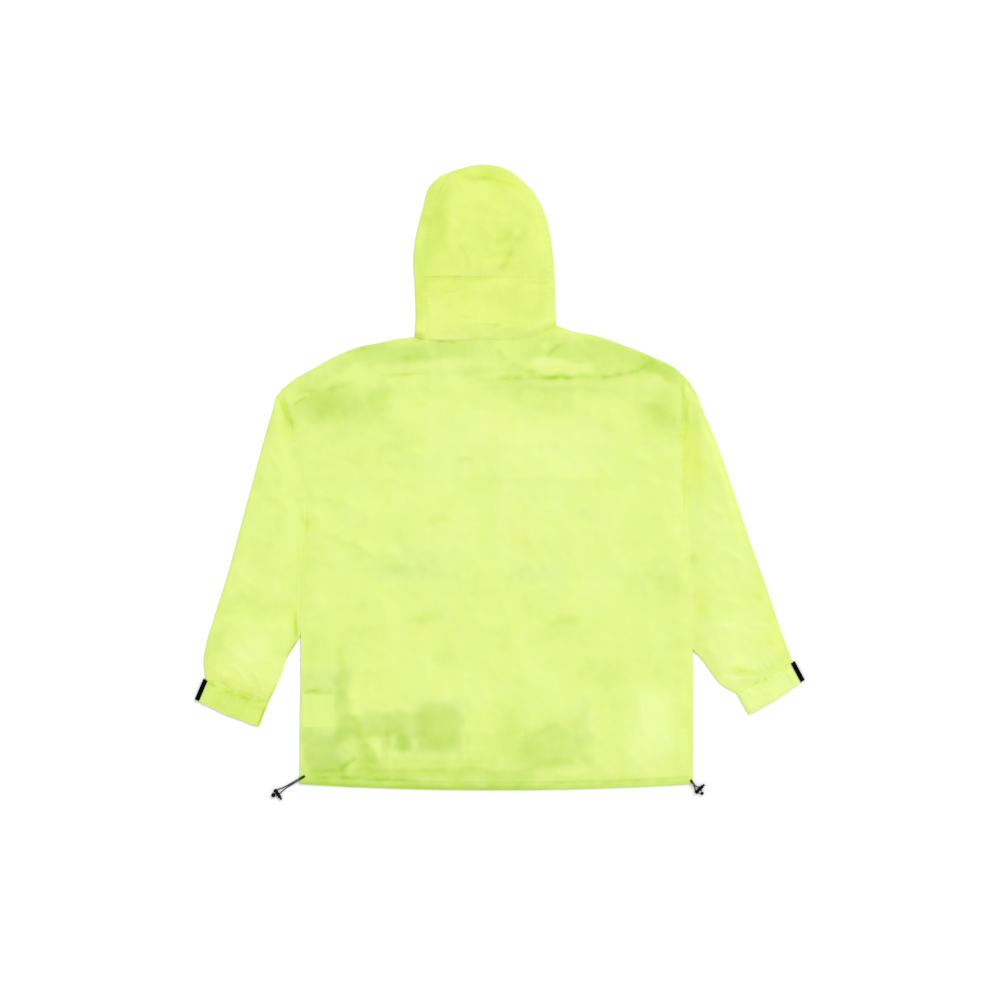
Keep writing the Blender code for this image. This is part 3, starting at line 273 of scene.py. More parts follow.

# Creases in the cloth itself, finer than the folds: pressed lines, drag lines and rumples.
# The bend is how far the middle of a crease lies to the left of the line between its ends,
# and the tone how much the doubled cloth and painted shade darken it, or painted light brightens its
# ridge.
CREASES = [Crease(*row) for row in (
    (-5, 167, 181, 170, 1, 4.4, 1.3, -1.35),  # yoke
    (60, 168, 128, 168, 0, 3.6, 0.3, -0.8),
    (170, 169, 238, 181, -2, 3.7, 1.0, -1.4),
    (232, 180, 267, 197, 1, 4.1, 0.8, -0.8),
    (-37, 166, 34, 166, 0, 3.4, 0.4, -0.5),
    (-8, 217, 62, 176, -7, 5.1, 0.9, -0.95),
    (116, 229, 80, 202, -5, 3.1, 0.8, -0.9),
    (111, 187, 176, 192, 0, 3.4, 0.5, 0.35),
    (-195, 197, -85, 204, 3, 4.4, 0.8, -0.5),
    (-255, 212, -192, 222, 2, 4.2, 0.4, -0.4),
    (-204, 170, -124, 175, 1, 3.1, -0.5, -0.5),
    (-247, 196, -243, 166, 2, 5.1, 0.4, 0.2),
    (-346, 144, -249, 159, -3, 3.7, 0.9, -0.8),
    (-351, 124, -321, 142, 3, 2.2, 0.6, 0.9),
    (-353, 120, -329, 136, 2, 2.5, -0.4, -0.9),
    (-238, 150, -222, 112, -2, 5.0, 0.4, 0.12),
    (313, 137, 310, 85, 0, 2.9, 0.5, -0.8),
    (298, 117, 296, 78, 0, 2.5, 0.3, -0.4),
    (147, 108, 199, 73, 3, 3.7, 0.6, -0.35),
    (-34, -4, 153, -6, 5, 5.1, 0.8, -0.25),
    (-311, -34, -222, -67, 7, 5.1, 0.9, -0.3),  # drag lines
    (-304, -94, -207, -142, 7, 5.4, 1.1, -0.35),
    (-317, -62, -263, -85, -3, 4.2, 0.8, -0.3),
    (-323, -108, -282, -152, 3, 4.2, 0.7, -0.2),
    (-224, -150, -47, -174, 8, 6.8, 0.8, -0.25),
    (33, -102, 89, -109, -3, 5.1, 0.6, -0.25),
    (17, -150, 97, -189, -7, 5.1, 0.7, -0.25),
    (218, -165, 283, -170, 7, 6.0, 0.8, -0.3),
    (82, -254, 136, -245, 3, 5.1, 0.7, -0.3),
    (-333, -365, -284, -366, 0, 3.0, 0.6, -1.3),  # lower left
    (-256, -398, -217, -488, 3, 9.5, 1.0, -0.8),
    (-272, -441, -244, -478, -3, 4.5, 0.7, -0.4),
    (-244, -478, -275, -499, 0, 3.4, 0.8, -1.1),
    (-187, -458, -185, -508, 0, 2.8, 0.4, 0.2),
    (-192, -428, -189, -466, 0, 4.4, -0.5, -0.35),
    (-331, -500, -263, -500, 0, 3.1, 0.4, -0.4),
    (-330, -511, -136, -517, 0, 5.0, 0.5, -1.15),
    (51, -444, 104, -419, 2, 4.4, 0.6, -0.5),  # lower right
    (46, -492, 164, -479, 0, 8.0, 0.7, -0.6),
    (90, -521, 322, -513, -2, 3.2, 0.4, -0.95),
    (-129, 340, -1, 340, 0, 3.0, -0.35, -0.5),  # hood
    (-129, 344, -5, 344, 0, 2.2, 0.4, 0.35),
    (34, 331, 87, 329, 0, 2.0, -0.3, -0.3),
    (-66, 511, -8, 508, 0, 3.2, 0.5, -0.6),
    (-14, 509, 30, 495, 2, 4.5, 0.6, -0.4),
    (33, 412, 0, 352, 3, 6.0, 1.0, -0.65),
    (14, 374, 2, 352, 0, 4.5, 0.5, -0.3),
    (51, 425, 28, 401, 0, 5.1, 0.7, -0.35),
    (-71, 399, -47, 358, 3, 3.4, 0.8, -0.5),
    (-8, 397, 28, 423, -3, 5.1, 0.7, -0.3),
    (-102, 312, -49, 316, 0, 2.5, -0.3, -0.35),
    (-96, 306, -32, 319, 2, 2.7, 0.5, 0.35),
    (-37, 260, 4, 258, 0, 2.2, -0.3, -0.55),
    (-76, 273, -39, 268, 0, 2.2, -0.3, -0.3),
    (-119, 236, -47, 236, 0, 2.4, 0.3, 0.6),
    (-120, 231, -74, 229, 0, 2.7, -0.3, -1.2),
    (38, 244, 92, 266, 2, 5.1, 0.7, 0.5),
    (-115, 300, -119, 239, 0, 3.4, 0.3, 0.2),
    (-356, 100, -352, 76, 0, 2.5, 0.5, -0.6),  # left sleeve
    (-338, -55, -331, -79, 0, 3.4, 0.6, -0.6),
    (-387, -220, -358, -220, 0, 2.0, 0.4, -0.35),
    (-348, -228, -346, -274, 0, 2.4, -0.4, -1.2),
    (-342, -276, -362, -308, 0, 1.9, 0, -2.0),
    (-379, -352, -397, -390, 0, 1.9, 0, -1.5),
    (-396, -388, -411, -425, 0, 2.1, 0, -2.2),
    (-474, -366, -447, -366, 0, 2.7, 0.5, -0.55),
    (-447, -369, -419, -378, -2, 3.4, 0.6, -0.9),
    (-414, -378, -396, -386, 0, 2.7, 0.4, -0.4),
    (-469, -346, -465, -356, 0, 2.4, 0.4, -0.5),
    (-498, -349, -482, -357, 0, 2.7, 0.4, -0.5),
    (349, -261, 402, -252, 2, 5.1, 0.7, 0.35),  # right sleeve
    (424, -252, 458, -252, 0, 3.4, 0.6, 0.35),
    (396, -330, 436, -329, 1, 5.0, 0.9, -0.45),
    (390, -345, 439, -342, 1, 4.4, 0.6, 0.4),
    (427, -357, 444, -346, 0, 3.7, 0.6, -0.8),
    (449, -346, 470, -335, 0, 3.7, 0.6, -0.75),
    (468, -337, 499, -322, 2, 3.2, 0.6, -0.6),
    (398, -366, 415, -366, 0, 2.2, 0.3, -0.5),
    (347, -291, 380, -305, 0, 2.9, 0.5, -0.3),
    (-224, 195, -47, 198, 3, 7.0, 0.6, 0.0),
    (-159, -439, -142, -470, 3, 5.0, 0.8, -0.2),
    (-54, -372, -56, -480, 2, 3.5, -0.7, -0.1),
    (46, -396, 47, -478, -2, 3.5, -0.6, -0.1),
    (145, -366, 153, -407, 3, 5.0, 0.8, -0.2),
    (232, -360, 246, -470, 6, 7.0, 0.7, 0.1),
    (286, -372, 291, -480, -5, 6.0, 0.6, -0.15),
    (-96, 92, 20, 104, 8, 8.0, 0.4, 0.0),
    (-190, 60, -120, 38, -6, 7.0, 0.5, -0.1),
    (60, 62, 140, 44, 7, 7.0, 0.4, 0.0),
    (208, 40, 276, 10, 5, 6.0, 0.5, -0.1),
    (-120, -70, -40, -96, -8, 7.0, 0.5, -0.1),
    (140, -90, 220, -112, 6, 6.0, 0.5, -0.1),
    (-180, -232, -96, -260, 8, 8.0, 0.5, -0.1),
    (-20, -236, 40, -290, -6, 7.0, 0.5, 0.0),
    (188, -300, 262, -318, 5, 6.0, 0.5, -0.1),
    (-110, -330, -30, -338, -5, 6.0, 0.4, 0.0),
    (-71, 260, 17, 255, 4, 6.0, 0.7, 0.0),
    (-104, 452, -62, 398, 6, 8.0, 0.5, 0.0),
    (-40, 440, 24, 452, 9, 9.0, 0.4, 0.0),
    (52, 440, 66, 372, -4, 7.0, 0.5, -0.1),
    (-365, 130, -353, 83, 3, 5.0, 1.0, -0.3),
    (-392, 62, -366, 6, -5, 6.0, 0.7, -0.1),
    (-410, -20, -352, -64, 6, 7.0, 0.7, -0.1),
    (-436, -96, -370, -128, 6, 8.0, 0.7, -0.1),
    (-452, -150, -392, -196, -7, 7.0, 0.7, -0.1),
    (-474, -226, -396, -240, 8, 8.0, 1.0, -0.1),
    (-484, -262, -420, -318, -9, 8.0, 0.45, 0.0),
    (-462, -318, -430, -350, 4, 5.0, 0.8, -0.1),
    (-352, -196, -342, -256, 3, 5.0, 0.9, 0.0),
    (-420, -330, -404, -366, 3, 5.0, 0.7, -0.1),
    (352, 66, 384, -30, 6, 7.0, 0.6, 0.0),
    (350, -40, 404, -66, -6, 7.0, 0.6, -0.1),
    (344, -120, 420, -150, 8, 8.0, 0.7, -0.1),
    (352, -196, 440, -214, -8, 8.0, 0.8, -0.1),
    (360, -252, 452, -280, 8, 8.0, 0.4, 0.0),
    (330, -216, 352, -286, 4, 6.0, 0.7, -0.1),
)]

# Rumpling between them: the spacing of its ridges and how high they stand.
CRINKLES = [Crinkle(64.0, 0.9), Crinkle(31.0, 0.45), Crinkle(14.0, 0.13)]

# How the cloth reads against the light: its tone runs from -1 where cloth, seams and air
# behind darken it to 1 where a single layer glows, and warm turns it yellow, or green
# below 0. A place is a soft cloud where crisp is 2 and has straight, sharp sides where it
# is 12.
# A few of the places below are painted shade and painted light of the folds; each is marked.
TONES = [Tone(*row) for row in (
    (-132, 213, 112, 20, 3, 4, -0.72, -0.45),  # shoulder turnings, left
    # painted light on the upper side of the yoke's crease, left
    (-127, 185, 82, 8, 2, 4, 0.1, 0.0),
    (-284, 183, 62, 14, 27, 3, -0.38, -0.2),
    (-270, 121, 84, 33, 0, 3, -0.55, -0.2),  # shoulder blade, left
    (-308, 125, 30, 20, -8, 2, -0.5, 0.0),
    (-207, 134, 24, 27, 0, 3, -0.35, 0.0),
    (-255, 62, 94, 48, 0, 2, -0.15, 0.0),
    (-64, 88, 61, 34, 0, 4, 0.25, 0.0),
    (-56, 30, 14, 7, 0, 6, -0.45, 0.0),
    (-161, 62, 20, 24, 0, 3, -0.2, 0.0),
    (153, 210, 126, 24, -9, 4, -0.62, -0.1),  # right
    # painted light on the upper side of the yoke's crease, right
    (82, 192, 34, 7, 2, 4, 0.55, 0.0),
    (-34, 180, 46, 14, 0, 2, -0.5, -0.3),
    (110, 148, 138, 9, 0, 2, -0.3, -0.3),
    (80, 219, 7, 8, 0, 3, 0.4, 0.0),
    (276, 181, 41, 12, -25, 4, -0.6, 0.0),
    (312, 144, 3, 15, 0, 4, -0.6, 0.0),
    (322, 141, 5, 8, 0, 3, 0.4, 0.0),
    (270, 112, 34, 34, 0, 2, -0.38, 0.2),
    (272, 110, 41, 44, 0, 2, -0.25, 0.0),
    # painted shade below the yoke's crease
    (77, 134, 76, 27, 0, 3, -0.3, 0.0),
    (94, 54, 88, 51, 0, 4, 0.35, 0.0),
    (196, 117, 20, 14, 0, 3, 0.2, 0.0),
    (0, -40, 238, 153, 0, 4, 0.2, 0),  # middle
    (-110, 20, 76, 20, 0, 3, -0.2, -0.4),
    (-176, 11, 27, 22, 0, 3, -0.2, 0.2),
    (-110, -74, 20, 8, 0, 3, -0.3, 0.0),
    (138, -62, 26, 14, 0, 3, -0.35, -0.5),
    (-144, -147, 75, 31, -6, 3, -0.3, -0.5),
    (-183, -162, 27, 12, 0, 3, -0.25, -0.3),
    (60, -162, 51, 20, 0, 3, -0.3, -0.5),
    (266, -169, 31, 24, 0, 3, -0.08, -0.3),
    (172, -210, 44, 34, 0, 3, 0.2, 0.0),
    (-146, -238, 20, 12, 0, 3, -0.2, 0.0),
    (-119, -238, 24, 10, 0, 3, -0.3, 0.0),
    (-222, -262, 27, 12, 0, 3, -0.25, 0.0),
    (114, -245, 24, 10, 0, 3, -0.3, 0.0),
    (187, -332, 44, 20, 0, 3, -0.2, 0.0),
    (9, -286, 12, 37, 0, 4, -0.15, 0.0),
    (0, -363, 102, 68, 0, 3, 0.12, 0.0),
    (-2, -428, 50, 50, 0, 3, -0.28, 0.15),
    (-298, -350, 42, 22, 0, 3, -0.4, -0.6),  # lower left
    (-297, -303, 41, 37, 0, 2, -0.2, 0.0),
    (-266, -390, 16, 56, 0, 4, -0.55, -0.3),
    (-270, -320, 10, 37, 0, 2, -0.4, 0.0),
    (-300, -466, 39, 39, 0, 10, -1.05, -1.0),
    (-217, -471, 31, 34, 0, 4, -0.45, -0.2),
    (-207, -461, 8, 22, 25, 3, 0.6, 0.0),
    (-164, -452, 14, 14, 0, 4, -0.95, -0.6),
    (-166, -466, 7, 8, 0, 3, -0.3, 0.0),
    (-102, -428, 42, 45, 0, 12, -0.84, -0.6),  # doubled cloth
    (-96, -380, 52, 14, 0, 2, -0.2, -0.6),
    (-268, -374, 13, 26, 0, 3, -0.08, 0.0),
    (-119, -451, 17, 17, 0, 4, -0.2, 0.0),
    (-200, -421, 64, 23, 0, 5, -0.72, -0.6),
    (-163, -450, 30, 25, 0, 3, -0.35, -0.5),
    (-150, -492, 96, 15, 0, 4, -0.4, 0.1),
    (-34, -490, 34, 24, 0, 3, -0.3, 0.0),
    (-207, -354, 44, 37, 0, 4, 0.08, 0.2),
    (90, -458, 58, 37, 12, 4, -0.54, -0.3),  # lower right
    (143, -398, 13, 22, 0, 3, -0.16, -0.5),
    (143, -446, 14, 36, 0, 3, -0.18, -0.4),
    (23, -482, 34, 42, 0, 3, -0.3, 0.0),
    (264, -425, 31, 71, 0, 4, 0.8, 0.0),
    (227, -431, 15, 58, 0, 3, 0.3, 0.0),
    (191, -439, 22, 48, 0, 3, -0.1, 0.0),
    (-153, -521, 289, 12, 0, 6, -0.46, -0.4),  # hem
    (200, -509, 120, 6, 1, 4, -0.12, 0.0),
    (-136, -504, 204, 8, 0, 4, -0.5, 0.1),
    (-110, 440, 22, 54, 0, 5, -0.36, 0.15),
    (-134, 330, 10, 66, 0, 4, -0.25, 0.2),  # hood
    (-102, 385, 17, 27, 20, 3, -0.05, 0.0),
    (-37, 523, 51, 8, 0, 4, -0.2, 0.3),
    (6, 503, 30, 10, -14, 3, -0.05, 0.7),
    (-40, 511, 30, 7, 0, 3, -0.25, 0.45),
    (-28, 385, 126, 153, 0, 8, -0.04, 0.64),
    (-76, 433, 8, 42, 0, 3, 0.25, 0.0),
    (7, 414, 15, 12, -25, 3, -0.26, 0.0),
    (66, 350, 14, 11, 0, 3, 0.3, 0.0),
    (-64, 336, 64, 5, 0, 4, -0.1, 0.25),
    # painted shadow in the neck's corner
    (-139, 239, 9, 6, 0, 3, -0.9, 0.4),
    (90, 255, 15, 8, 20, 3, -0.35, 0.8),
    (-20, 365, 24, 7, 0, 3, 0.25, 0.0),
    (-51, 283, 68, 27, 0, 4, 0.12, 0.0),
    (21, 300, 24, 34, 0, 3, -0.12, 0.0),
    (72, 317, 10, 44, 0, 3, -0.2, 0.0),
    (-112, 266, 15, 31, 0, 3, 0.25, 0.0),
    (-367, 116, 6, 21, 12, 3, -0.65, 0.8),  # left sleeve
    (-362, 90, 15, 32, 12, 2, -0.1, 0.8),
    (-328, -80, 9, 13, 0, 3, -0.45, 0.9),
    (-335, -116, 12, 62, 0, 3, -0.05, 0.35),
    (-349, -248, 10, 32, 0, 3, -0.15, 0.8),
    (-408, -222, 54, 20, -6, 3, -0.28, 0.0),
    (-465, -259, 17, 12, 0, 3, -0.12, 0.0),
    (-425, -295, 29, 51, -14, 3, 0.55, 0.0),
    (-487, -303, 12, 37, -10, 4, -0.25, 0.0),
    (-455, -386, 58, 20, -22, 6, -0.34, 0.45),
    (-436, -366, 54, 14, -22, 3, -0.22, 0.5),
    (317, 108, 5, 24, 0, 3, -0.4, 0.6),  # right sleeve
    (333, 36, 14, 62, 8, 3, -0.08, 0.9),
    (315, 22, 8, 74, 0, 3, -0.14, 0.8),
    (300, -91, 8, 8, 0, 4, 0.5, 0.0),
    (327, -142, 8, 7, 0, 3, -0.4, 0.0),
    (298, -193, 17, 27, 0, 3, -0.12, 0.0),
    (408, -278, 51, 54, 15, 4, 0.45, 0.0),
    (383, -108, 37, 102, 17, 4, 0.3, 0.0),
    (412, -312, 14, 10, 0, 3, 0.35, 0.0),
    (448, -349, 3, 5, 0, 3, -0.6, 0.0),
    (414, -329, 20, 7, 0, 3, -0.2, 0.55),
    # painted light that lifts the shade of the sleeve's rounded edge
    (386, -346, 22, 12, -28, 3, 0.6, 0.2),
    (442, -203, 9, 9, 0, 3, -0.35, 0.5),
    (344, -216, 10, 22, 0, 3, -0.05, 0.7),
    (466, -270, 9, 42, 18, 3, -0.04, 0.5),
    (459, -278, 5, 10, 0, 3, -0.3, 0.0),
    (459, -363, 61, 26, 30, 6, 0.75, 0.0),
)]

# Past the hem's corner: how far along, how high and how far apart the two strands run.
SAGS = [Sag(0.35, 0.45, 1.0), Sag(0.6, 0.0, 1.2), Sag(0.82, 0.1, 2.0)]

HARDWARE = [
    Hardware("left", -333.5, -509.9, -379.0, -537.3, -56.7, 3.8, 7.2, 0.2),
    Hardware("right", 325.6, -517.2, 337.8, -533.1, 43.0, 2.8, 8.4, 1.0),
]
LOCK_START = -6.8  # along its own axis, from between its two holes
LOCK_END = 10.0
HOLE_AT = 3.6
HOLE_RADIUS = 1.3
BORE_FLOOR = 5.8  # where the plunger's bore ends
PLUNGER_RADIUS = 1.5
PLUNGER_START = BORE_FLOOR + SEAM + PLUNGER_TRAVEL
HEAD_START = LOCK_END + SEAM + PLUNGER_TRAVEL
HEAD_LENGTH = 1.4
HEAD_RADIUS = 2.0
PLUNGER_HIGHLIGHT = 4  # painted highlight: the plunger is coloured this much paler than the barrel
SHARP = math.radians(45)  # angle from which an edge stays sharp
STITCH_ENDS = (0.1, 0.9)  # where a stitch starts and ends, as shares of its pitch
STITCH_BELOW = 0.3  # height of the stitches on the lower cloths

surfaces = {}  # the finished outer face of each panel, as rows of points in millimetres


class ClothSettings(PropertyGroup):
    """Neon nylon of the shell."""

    base: FloatVectorProperty(
        name="Cloth", description="Colour of one cloth lying on another",
        subtype="COLOR", size=3, min=0, max=1, default=(0.722, 0.857, 0.238),
    )
    # The glow also carries the painted light on ridges, gathers and edges.
    glow: FloatVectorProperty(
        name="Glow", description="Colour where a single layer lets the light through",
        subtype="COLOR", size=3, min=0, max=1, default=(0.788, 0.903, 0.33),
    )
    # The shade also carries the painted shade in creases, gathers and along rims.
    shade: FloatVectorProperty(
        name="Shade", description="Colour where more cloth shows through",
        subtype="COLOR", size=3, min=0, max=1, default=(0.53, 0.715, 0.112),
    )
    thickness: FloatProperty(
        name="Thickness", description="Wall of the finished cloth",
        unit="LENGTH", subtype="DISTANCE", default=0.35 * MM, min=0.1 * MM, max=0.9 * MM,
    )
    crinkle: FloatProperty(
        name="Crinkle", description="Share of the rumpling that the cloth keeps",
        subtype="FACTOR", default=1.0, min=0.0, max=2.0,
    )
    weave: FloatProperty(
        name="Weave", description="Distance from one yarn to the next",
        unit="LENGTH", subtype="DISTANCE", default=0.42 * MM, min=0.1 * MM, max=2 * MM,
    )


class TrimSettings(PropertyGroup):
    """Webbing, cord, plastic, thread and label."""

    webbing: FloatVectorProperty(
        name="Webbing", description="Colour of the cuff tabs",
        subtype="COLOR", size=3, min=0, max=1, default=(0.0022, 0.0022, 0.0025),
    )
    cord: FloatVectorProperty(
        name="Cord", description="Colour of the hem cord",
        subtype="COLOR", size=3, min=0, max=1, default=(0.0022, 0.0022, 0.0025),
    )
    plastic: FloatVectorProperty(
        name="Plastic", description="Colour of the cord locks",
        subtype="COLOR", size=3, min=0, max=1, default=(0.0022, 0.0022, 0.0025),
    )
    label: FloatVectorProperty(
        name="Label", description="Colour of the blank care label",
        subtype="COLOR", size=3, min=0, max=1, default=(0.8, 0.8, 0.76),
    )
    stitch: FloatProperty(
        name="Stitch", description="Length of one stitch with its gap",
        unit="LENGTH", subtype="DISTANCE", default=3.2 * MM, min=MM, max=8 * MM,
    )
    thread: FloatProperty(
        name="Thread", description="Thickness of the sewing thread",
        unit="LENGTH", subtype="DISTANCE", default=0.4 * MM, min=0.1 * MM, max=MM,
    )


class StageSettings(PropertyGroup):
    """Floor, light and camera."""

    floor: FloatVectorProperty(
        name="Floor", description="Colour of the floor",
        subtype="COLOR", size=3, min=0, max=1, default=(0.985, 0.985, 0.985),
    )
    dome: FloatProperty(
        name="Dome", description="Strength of the even light from all round", default=0.82, min=0, max=5,
    )
    key: FloatProperty(
        name="Key", description="Strength of the soft light from one side", default=1.12, min=0, max=20,
    )
    key_spread: FloatProperty(
        name="Key spread", description="Angle that the soft light fills",
        subtype="ANGLE", unit="ROTATION", default=math.radians(24), min=0, max=math.pi,
    )
    lens: FloatProperty(
        name="Lens", description="Focal length on a 36 mm sensor", default=85.0, min=10, max=300,
    )
    view_width: FloatProperty(
        name="View width", description="Width of floor in the picture",
        unit="LENGTH", subtype="DISTANCE", default=1.7, min=0.1, max=20,
    )


# --- curves and grids ---------------------------------------------------------------


def soft_step(t):
    """0 below 0, 1 above 1 and a smooth rise between."""
    t = np.clip(t, 0.0, 1.0)
    return t * t * (3 - 2 * t)


def inside(window, value):
    """1 within the window, fading to 0 over its soft margin on either side."""
    rise = soft_step((value - window.low) / window.soft + 1)
    return rise * soft_step((window.high - value) / window.soft + 1)


def rounded(distance, radius):
    """0 on an edge, rising like a quarter circle to 1 at the radius."""
    t = 1 - np.clip(distance / radius, 0.0, 1.0)
    return np.sqrt(1 - t * t)


def steps_of(points):
    """The distance from each point of a line to the next."""
    return np.linalg.norm(np.diff(points, axis=0), axis=1)


def run_of(points):
    """How far along a line each of its points is."""
    return np.concatenate([[0.0], np.cumsum(steps_of(points))])


def curve(rows, fractions):
    """Points at these fractions of a smooth curve through the rows."""
    knots = np.array([tuple(row) for row in rows], float)
    reach = steps_of(knots)
    at = run_of(knots)
    slope = np.gradient(knots, at, axis=0)
    s = np.clip(np.asarray(fractions, float), 0.0, 1.0) * at[-1]
    i = np.clip(np.searchsorted(at, s, side="right") - 1, 0, len(reach) - 1)
    t = ((s - at[i]) / reach[i])[:, None]
    h = reach[i][:, None]
    start = (2 * t**3 - 3 * t**2 + 1) * knots[i] + (t**3 - 2 * t**2 + t) * h * slope[i]
    end = (3 * t**2 - 2 * t**3) * knots[i + 1] + (t**3 - t**2) * h * slope[i + 1]
    return start + end


def heights(rows, ys):
    """Points of an upright edge at these heights."""
    fine = curve(rows, np.linspace(0, 1, 400))
    order = np.argsort(fine[:, 1])
    return np.column_stack([np.interp(ys, fine[order, 1], fine[order, 0]), ys])


def between(start, end, fractions):
    """Points at these fractions of a straight line."""
    start, end = np.array(start, float), np.array(end, float)
    return start + (end - start) * np.asarray(fractions)[:, None]


def patch(bottom, top, left, right, us, vs):
    """A grid of points filling the space between four edges, one row for each of vs."""
    u = np.asarray(us)[None, :, None]
    v = np.asarray(vs)[:, None, None]
    across = (1 - u) * left[:, None] + u * right[:, None]
    along = (1 - v) * bottom[None] + v * top[None]
    low = (1 - u) * bottom[0] + u * bottom[-1]
    high = (1 - u) * top[0] + u * top[-1]
    return across + along - (1 - v) * low - v * high


def eased(count, length, dense=()):
    """Fractions of a length in millimetres, close together where the cloth turns over.

    They also close up by each dense row's share round the place it gives.
    """
    close = np.array([0.0, 0.25, 0.7, 1.4, 2.4]) / length
    fine = np.linspace(4.0, length - 4.0, 4000)
    weight = np.ones_like(fine)
    for row in dense:
        weight += row.share * np.exp(-(((fine - row.at) / row.wide) ** 2))
    total = np.concatenate([[0.0], np.cumsum((weight[1:] + weight[:-1]) / 2)])
    inner = np.interp(np.linspace(0, total[-1], count - 9), total, fine) / length
    return np.concatenate([close, inner, 1 - close[::-1]])


def edges_of(grid):
    """How far each point of a grid is from its four edges, along its rows and columns."""
    along = np.linalg.norm(np.diff(grid, axis=1), axis=2)
    left = np.concatenate([np.zeros((len(grid), 1)), np.cumsum(along, axis=1)], axis=1)
    up = np.linalg.norm(np.diff(grid, axis=0), axis=2)
    bottom = np.concatenate([np.zeros((1, grid.shape[1])), np.cumsum(up, axis=0)])
    return Edges(left, left[:, -1:] - left, bottom, bottom[-1:] - bottom)


def spread(grid):
    """X and Y of a grid's points, and how far each is from the four edges."""
    return grid[..., 0], grid[..., 1], edges_of(grid)


def nearest(edges, names=Edges._fields):
    """How far each point of a grid is from the nearest of the edges named."""
    return np.minimum.reduce([getattr(edges, name) for name in names])


# --- the cloth's own height and tone -------------------------------------------------


def line_frame(row, x, y):
    """How far along a fold's line, past its ends and to its left each point is."""
    run_x = row.x1 - row.x0
    run_y = row.y1 - row.y0
    length = math.hypot(run_x, run_y)
    away_x = x - row.x0
    away_y = y - row.y0
    along = (away_x * run_x + away_y * run_y) / length**2
    past = np.maximum(np.maximum(-along, along - 1), 0.0) * length
    off = (run_x * away_y - run_y * away_x) / length
    return along, past, off


def fold_at(x, y):
    """Height of the largest folds, with a slow swell between them."""
    swell = 0.55 * np.sin(x / 47 + np.sin(y / 61)) * np.sin(y / 53 + 1.3)
    swell = swell + 0.35 * np.sin((x + 0.6 * y) / 31 + 0.8)
    for fold in FOLDS:
        _, past, off = line_frame(fold, x, y)
        swell += fold.rise * np.exp(-(off**2 + (0.6 * past) ** 2) / fold.width**2)
    return swell


def air(x, y):
    """Air between the two cloths away from their seams, from 0 to ROOM."""
    return ROOM * (0.5 + 0.5 * np.tanh(fold_at(x, y) * 0.75))


def wander(x, y, size, seed):
    """A field that drifts between about -0.5 and 0.5 over each size in millimetres."""
    spots = zip((x / size).flat, (y / size).flat)
    return np.array([noise.noise((a, b, seed)) for a, b in spots]).reshape(x.shape)


def crease_at(x, y):
    """Height and tone of the creases, each steeper on its left than on its right."""
    height = np.zeros_like(x)
    tone = np.zeros_like(x)
    broken = 0.95 + 0.9 * wander(x, y, 17.0, 4.0)
    for crease in CREASES:
        along, past, off = line_frame(crease, x, y)
        along = np.clip(along, 0.0, 1.0)
        off = off - crease.bend * 4 * along * (1 - along)
        width = np.where(off > 0, crease.width * STEEP, crease.width)
        taper = np.sin(np.pi * along) ** 0.4 * np.exp(-((past / crease.width) ** 2))
        height += crease.rise * taper * np.exp(-((off / width) ** 2))
        # The tone is the doubled cloth with painted shade along the crease, or painted light on its
        # ridge where the tone is above 0.
        core = np.exp(-((off / (0.8 * crease.width)) ** 2))
        halo = np.exp(-((off / (2.4 * crease.width)) ** 2))
        tone += crease.tone * taper * broken * (0.5 * core + 0.3 * halo)
    return height, tone


def crinkle_at(x, y, seed):
    """Rumpling of thin nylon: soft ridges at several spacings, from 0 up."""
    height = np.zeros(x.shape)
    for crinkle in CRINKLES:
        field = np.abs(wander(x, y, crinkle.size, seed + crinkle.size))
        ridge = 1 - np.minimum(field * 2.2, 1.0)
        height += crinkle.depth * ridge**1.5
    return height


def look_at(x, y, share=1.0):
    """Tone and warmth of the cloth, from the table of darker and brighter places."""
    look = np.zeros((*x.shape, 2))
    ragged_x = x + 8.0 * wander(x, y, 30.0, 11.0) + 2.0 * wander(x, y, 9.0, 12.0)
    ragged_y = y + 8.0 * wander(x, y, 30.0, 13.0) + 2.0 * wander(x, y, 9.0, 14.0)
    for row in TONES:
        turn = math.radians(row.turn)
        away_x = ragged_x - row.x
        away_y = ragged_y - row.y
        a = np.abs(away_x * math.cos(turn) + away_y * math.sin(turn)) / row.long
        b = np.abs(away_y * math.cos(turn) - away_x * math.sin(turn)) / row.tall
        crisp = min(row.crisp, CRISPEST)
        place = np.exp(-(a**crisp + b**crisp))
        look += share * place[..., None] * (row.tone, row.warm)
    return look


def upper_rumple(cloth, x, y, seed, sunk):
    """Height and tone of the creases and crinkle of a cloth that shows."""
    crease, doubling_and_crease_shading = crease_at(x, y)
    return crease + cloth.crinkle * (crinkle_at(x, y, seed) - sunk), doubling_and_crease_shading


def lower_rumple(cloth, x, y, seed, crease_spot, creases=0.45, crinkles=0.5):
    """Height of the same on a cloth that the one above presses flat."""
    crease, _ = crease_at(*crease_spot)
    height = creases * crease + crinkles * cloth.crinkle * crinkle_at(x, y, seed)
    return np.clip(height, 0.0, LOWER_RUMPLE)


def rim_turning_and_shade(distance, share):
    """The turnings inside a seam darken the cloth beside it, and painted shade darkens it where its edge
    rolls away from the light.
    """
    return -share * np.exp(-distance / 3.5)


def pucker(distance, along, pitch, depth):
    """Small ripples that a line of stitches draws up beside it."""
    wave = np.sin(2 * np.pi * along / pitch + 1.7 * np.sin(along / (2.6 * pitch)))
    return depth * wave * np.exp(-distance / (0.9 * pitch)) * soft_step(distance / 2.0)


def puckers(edges, x, y, rows):
    """The ripples beside each stitched edge of a grid: (edge, pitch, depth)."""
    ripple = 0.0
    for name, pitch, depth in rows:
        ripple = ripple + pucker(getattr(edges, name), x if name in ENDS else y, pitch, depth)
    return ripple


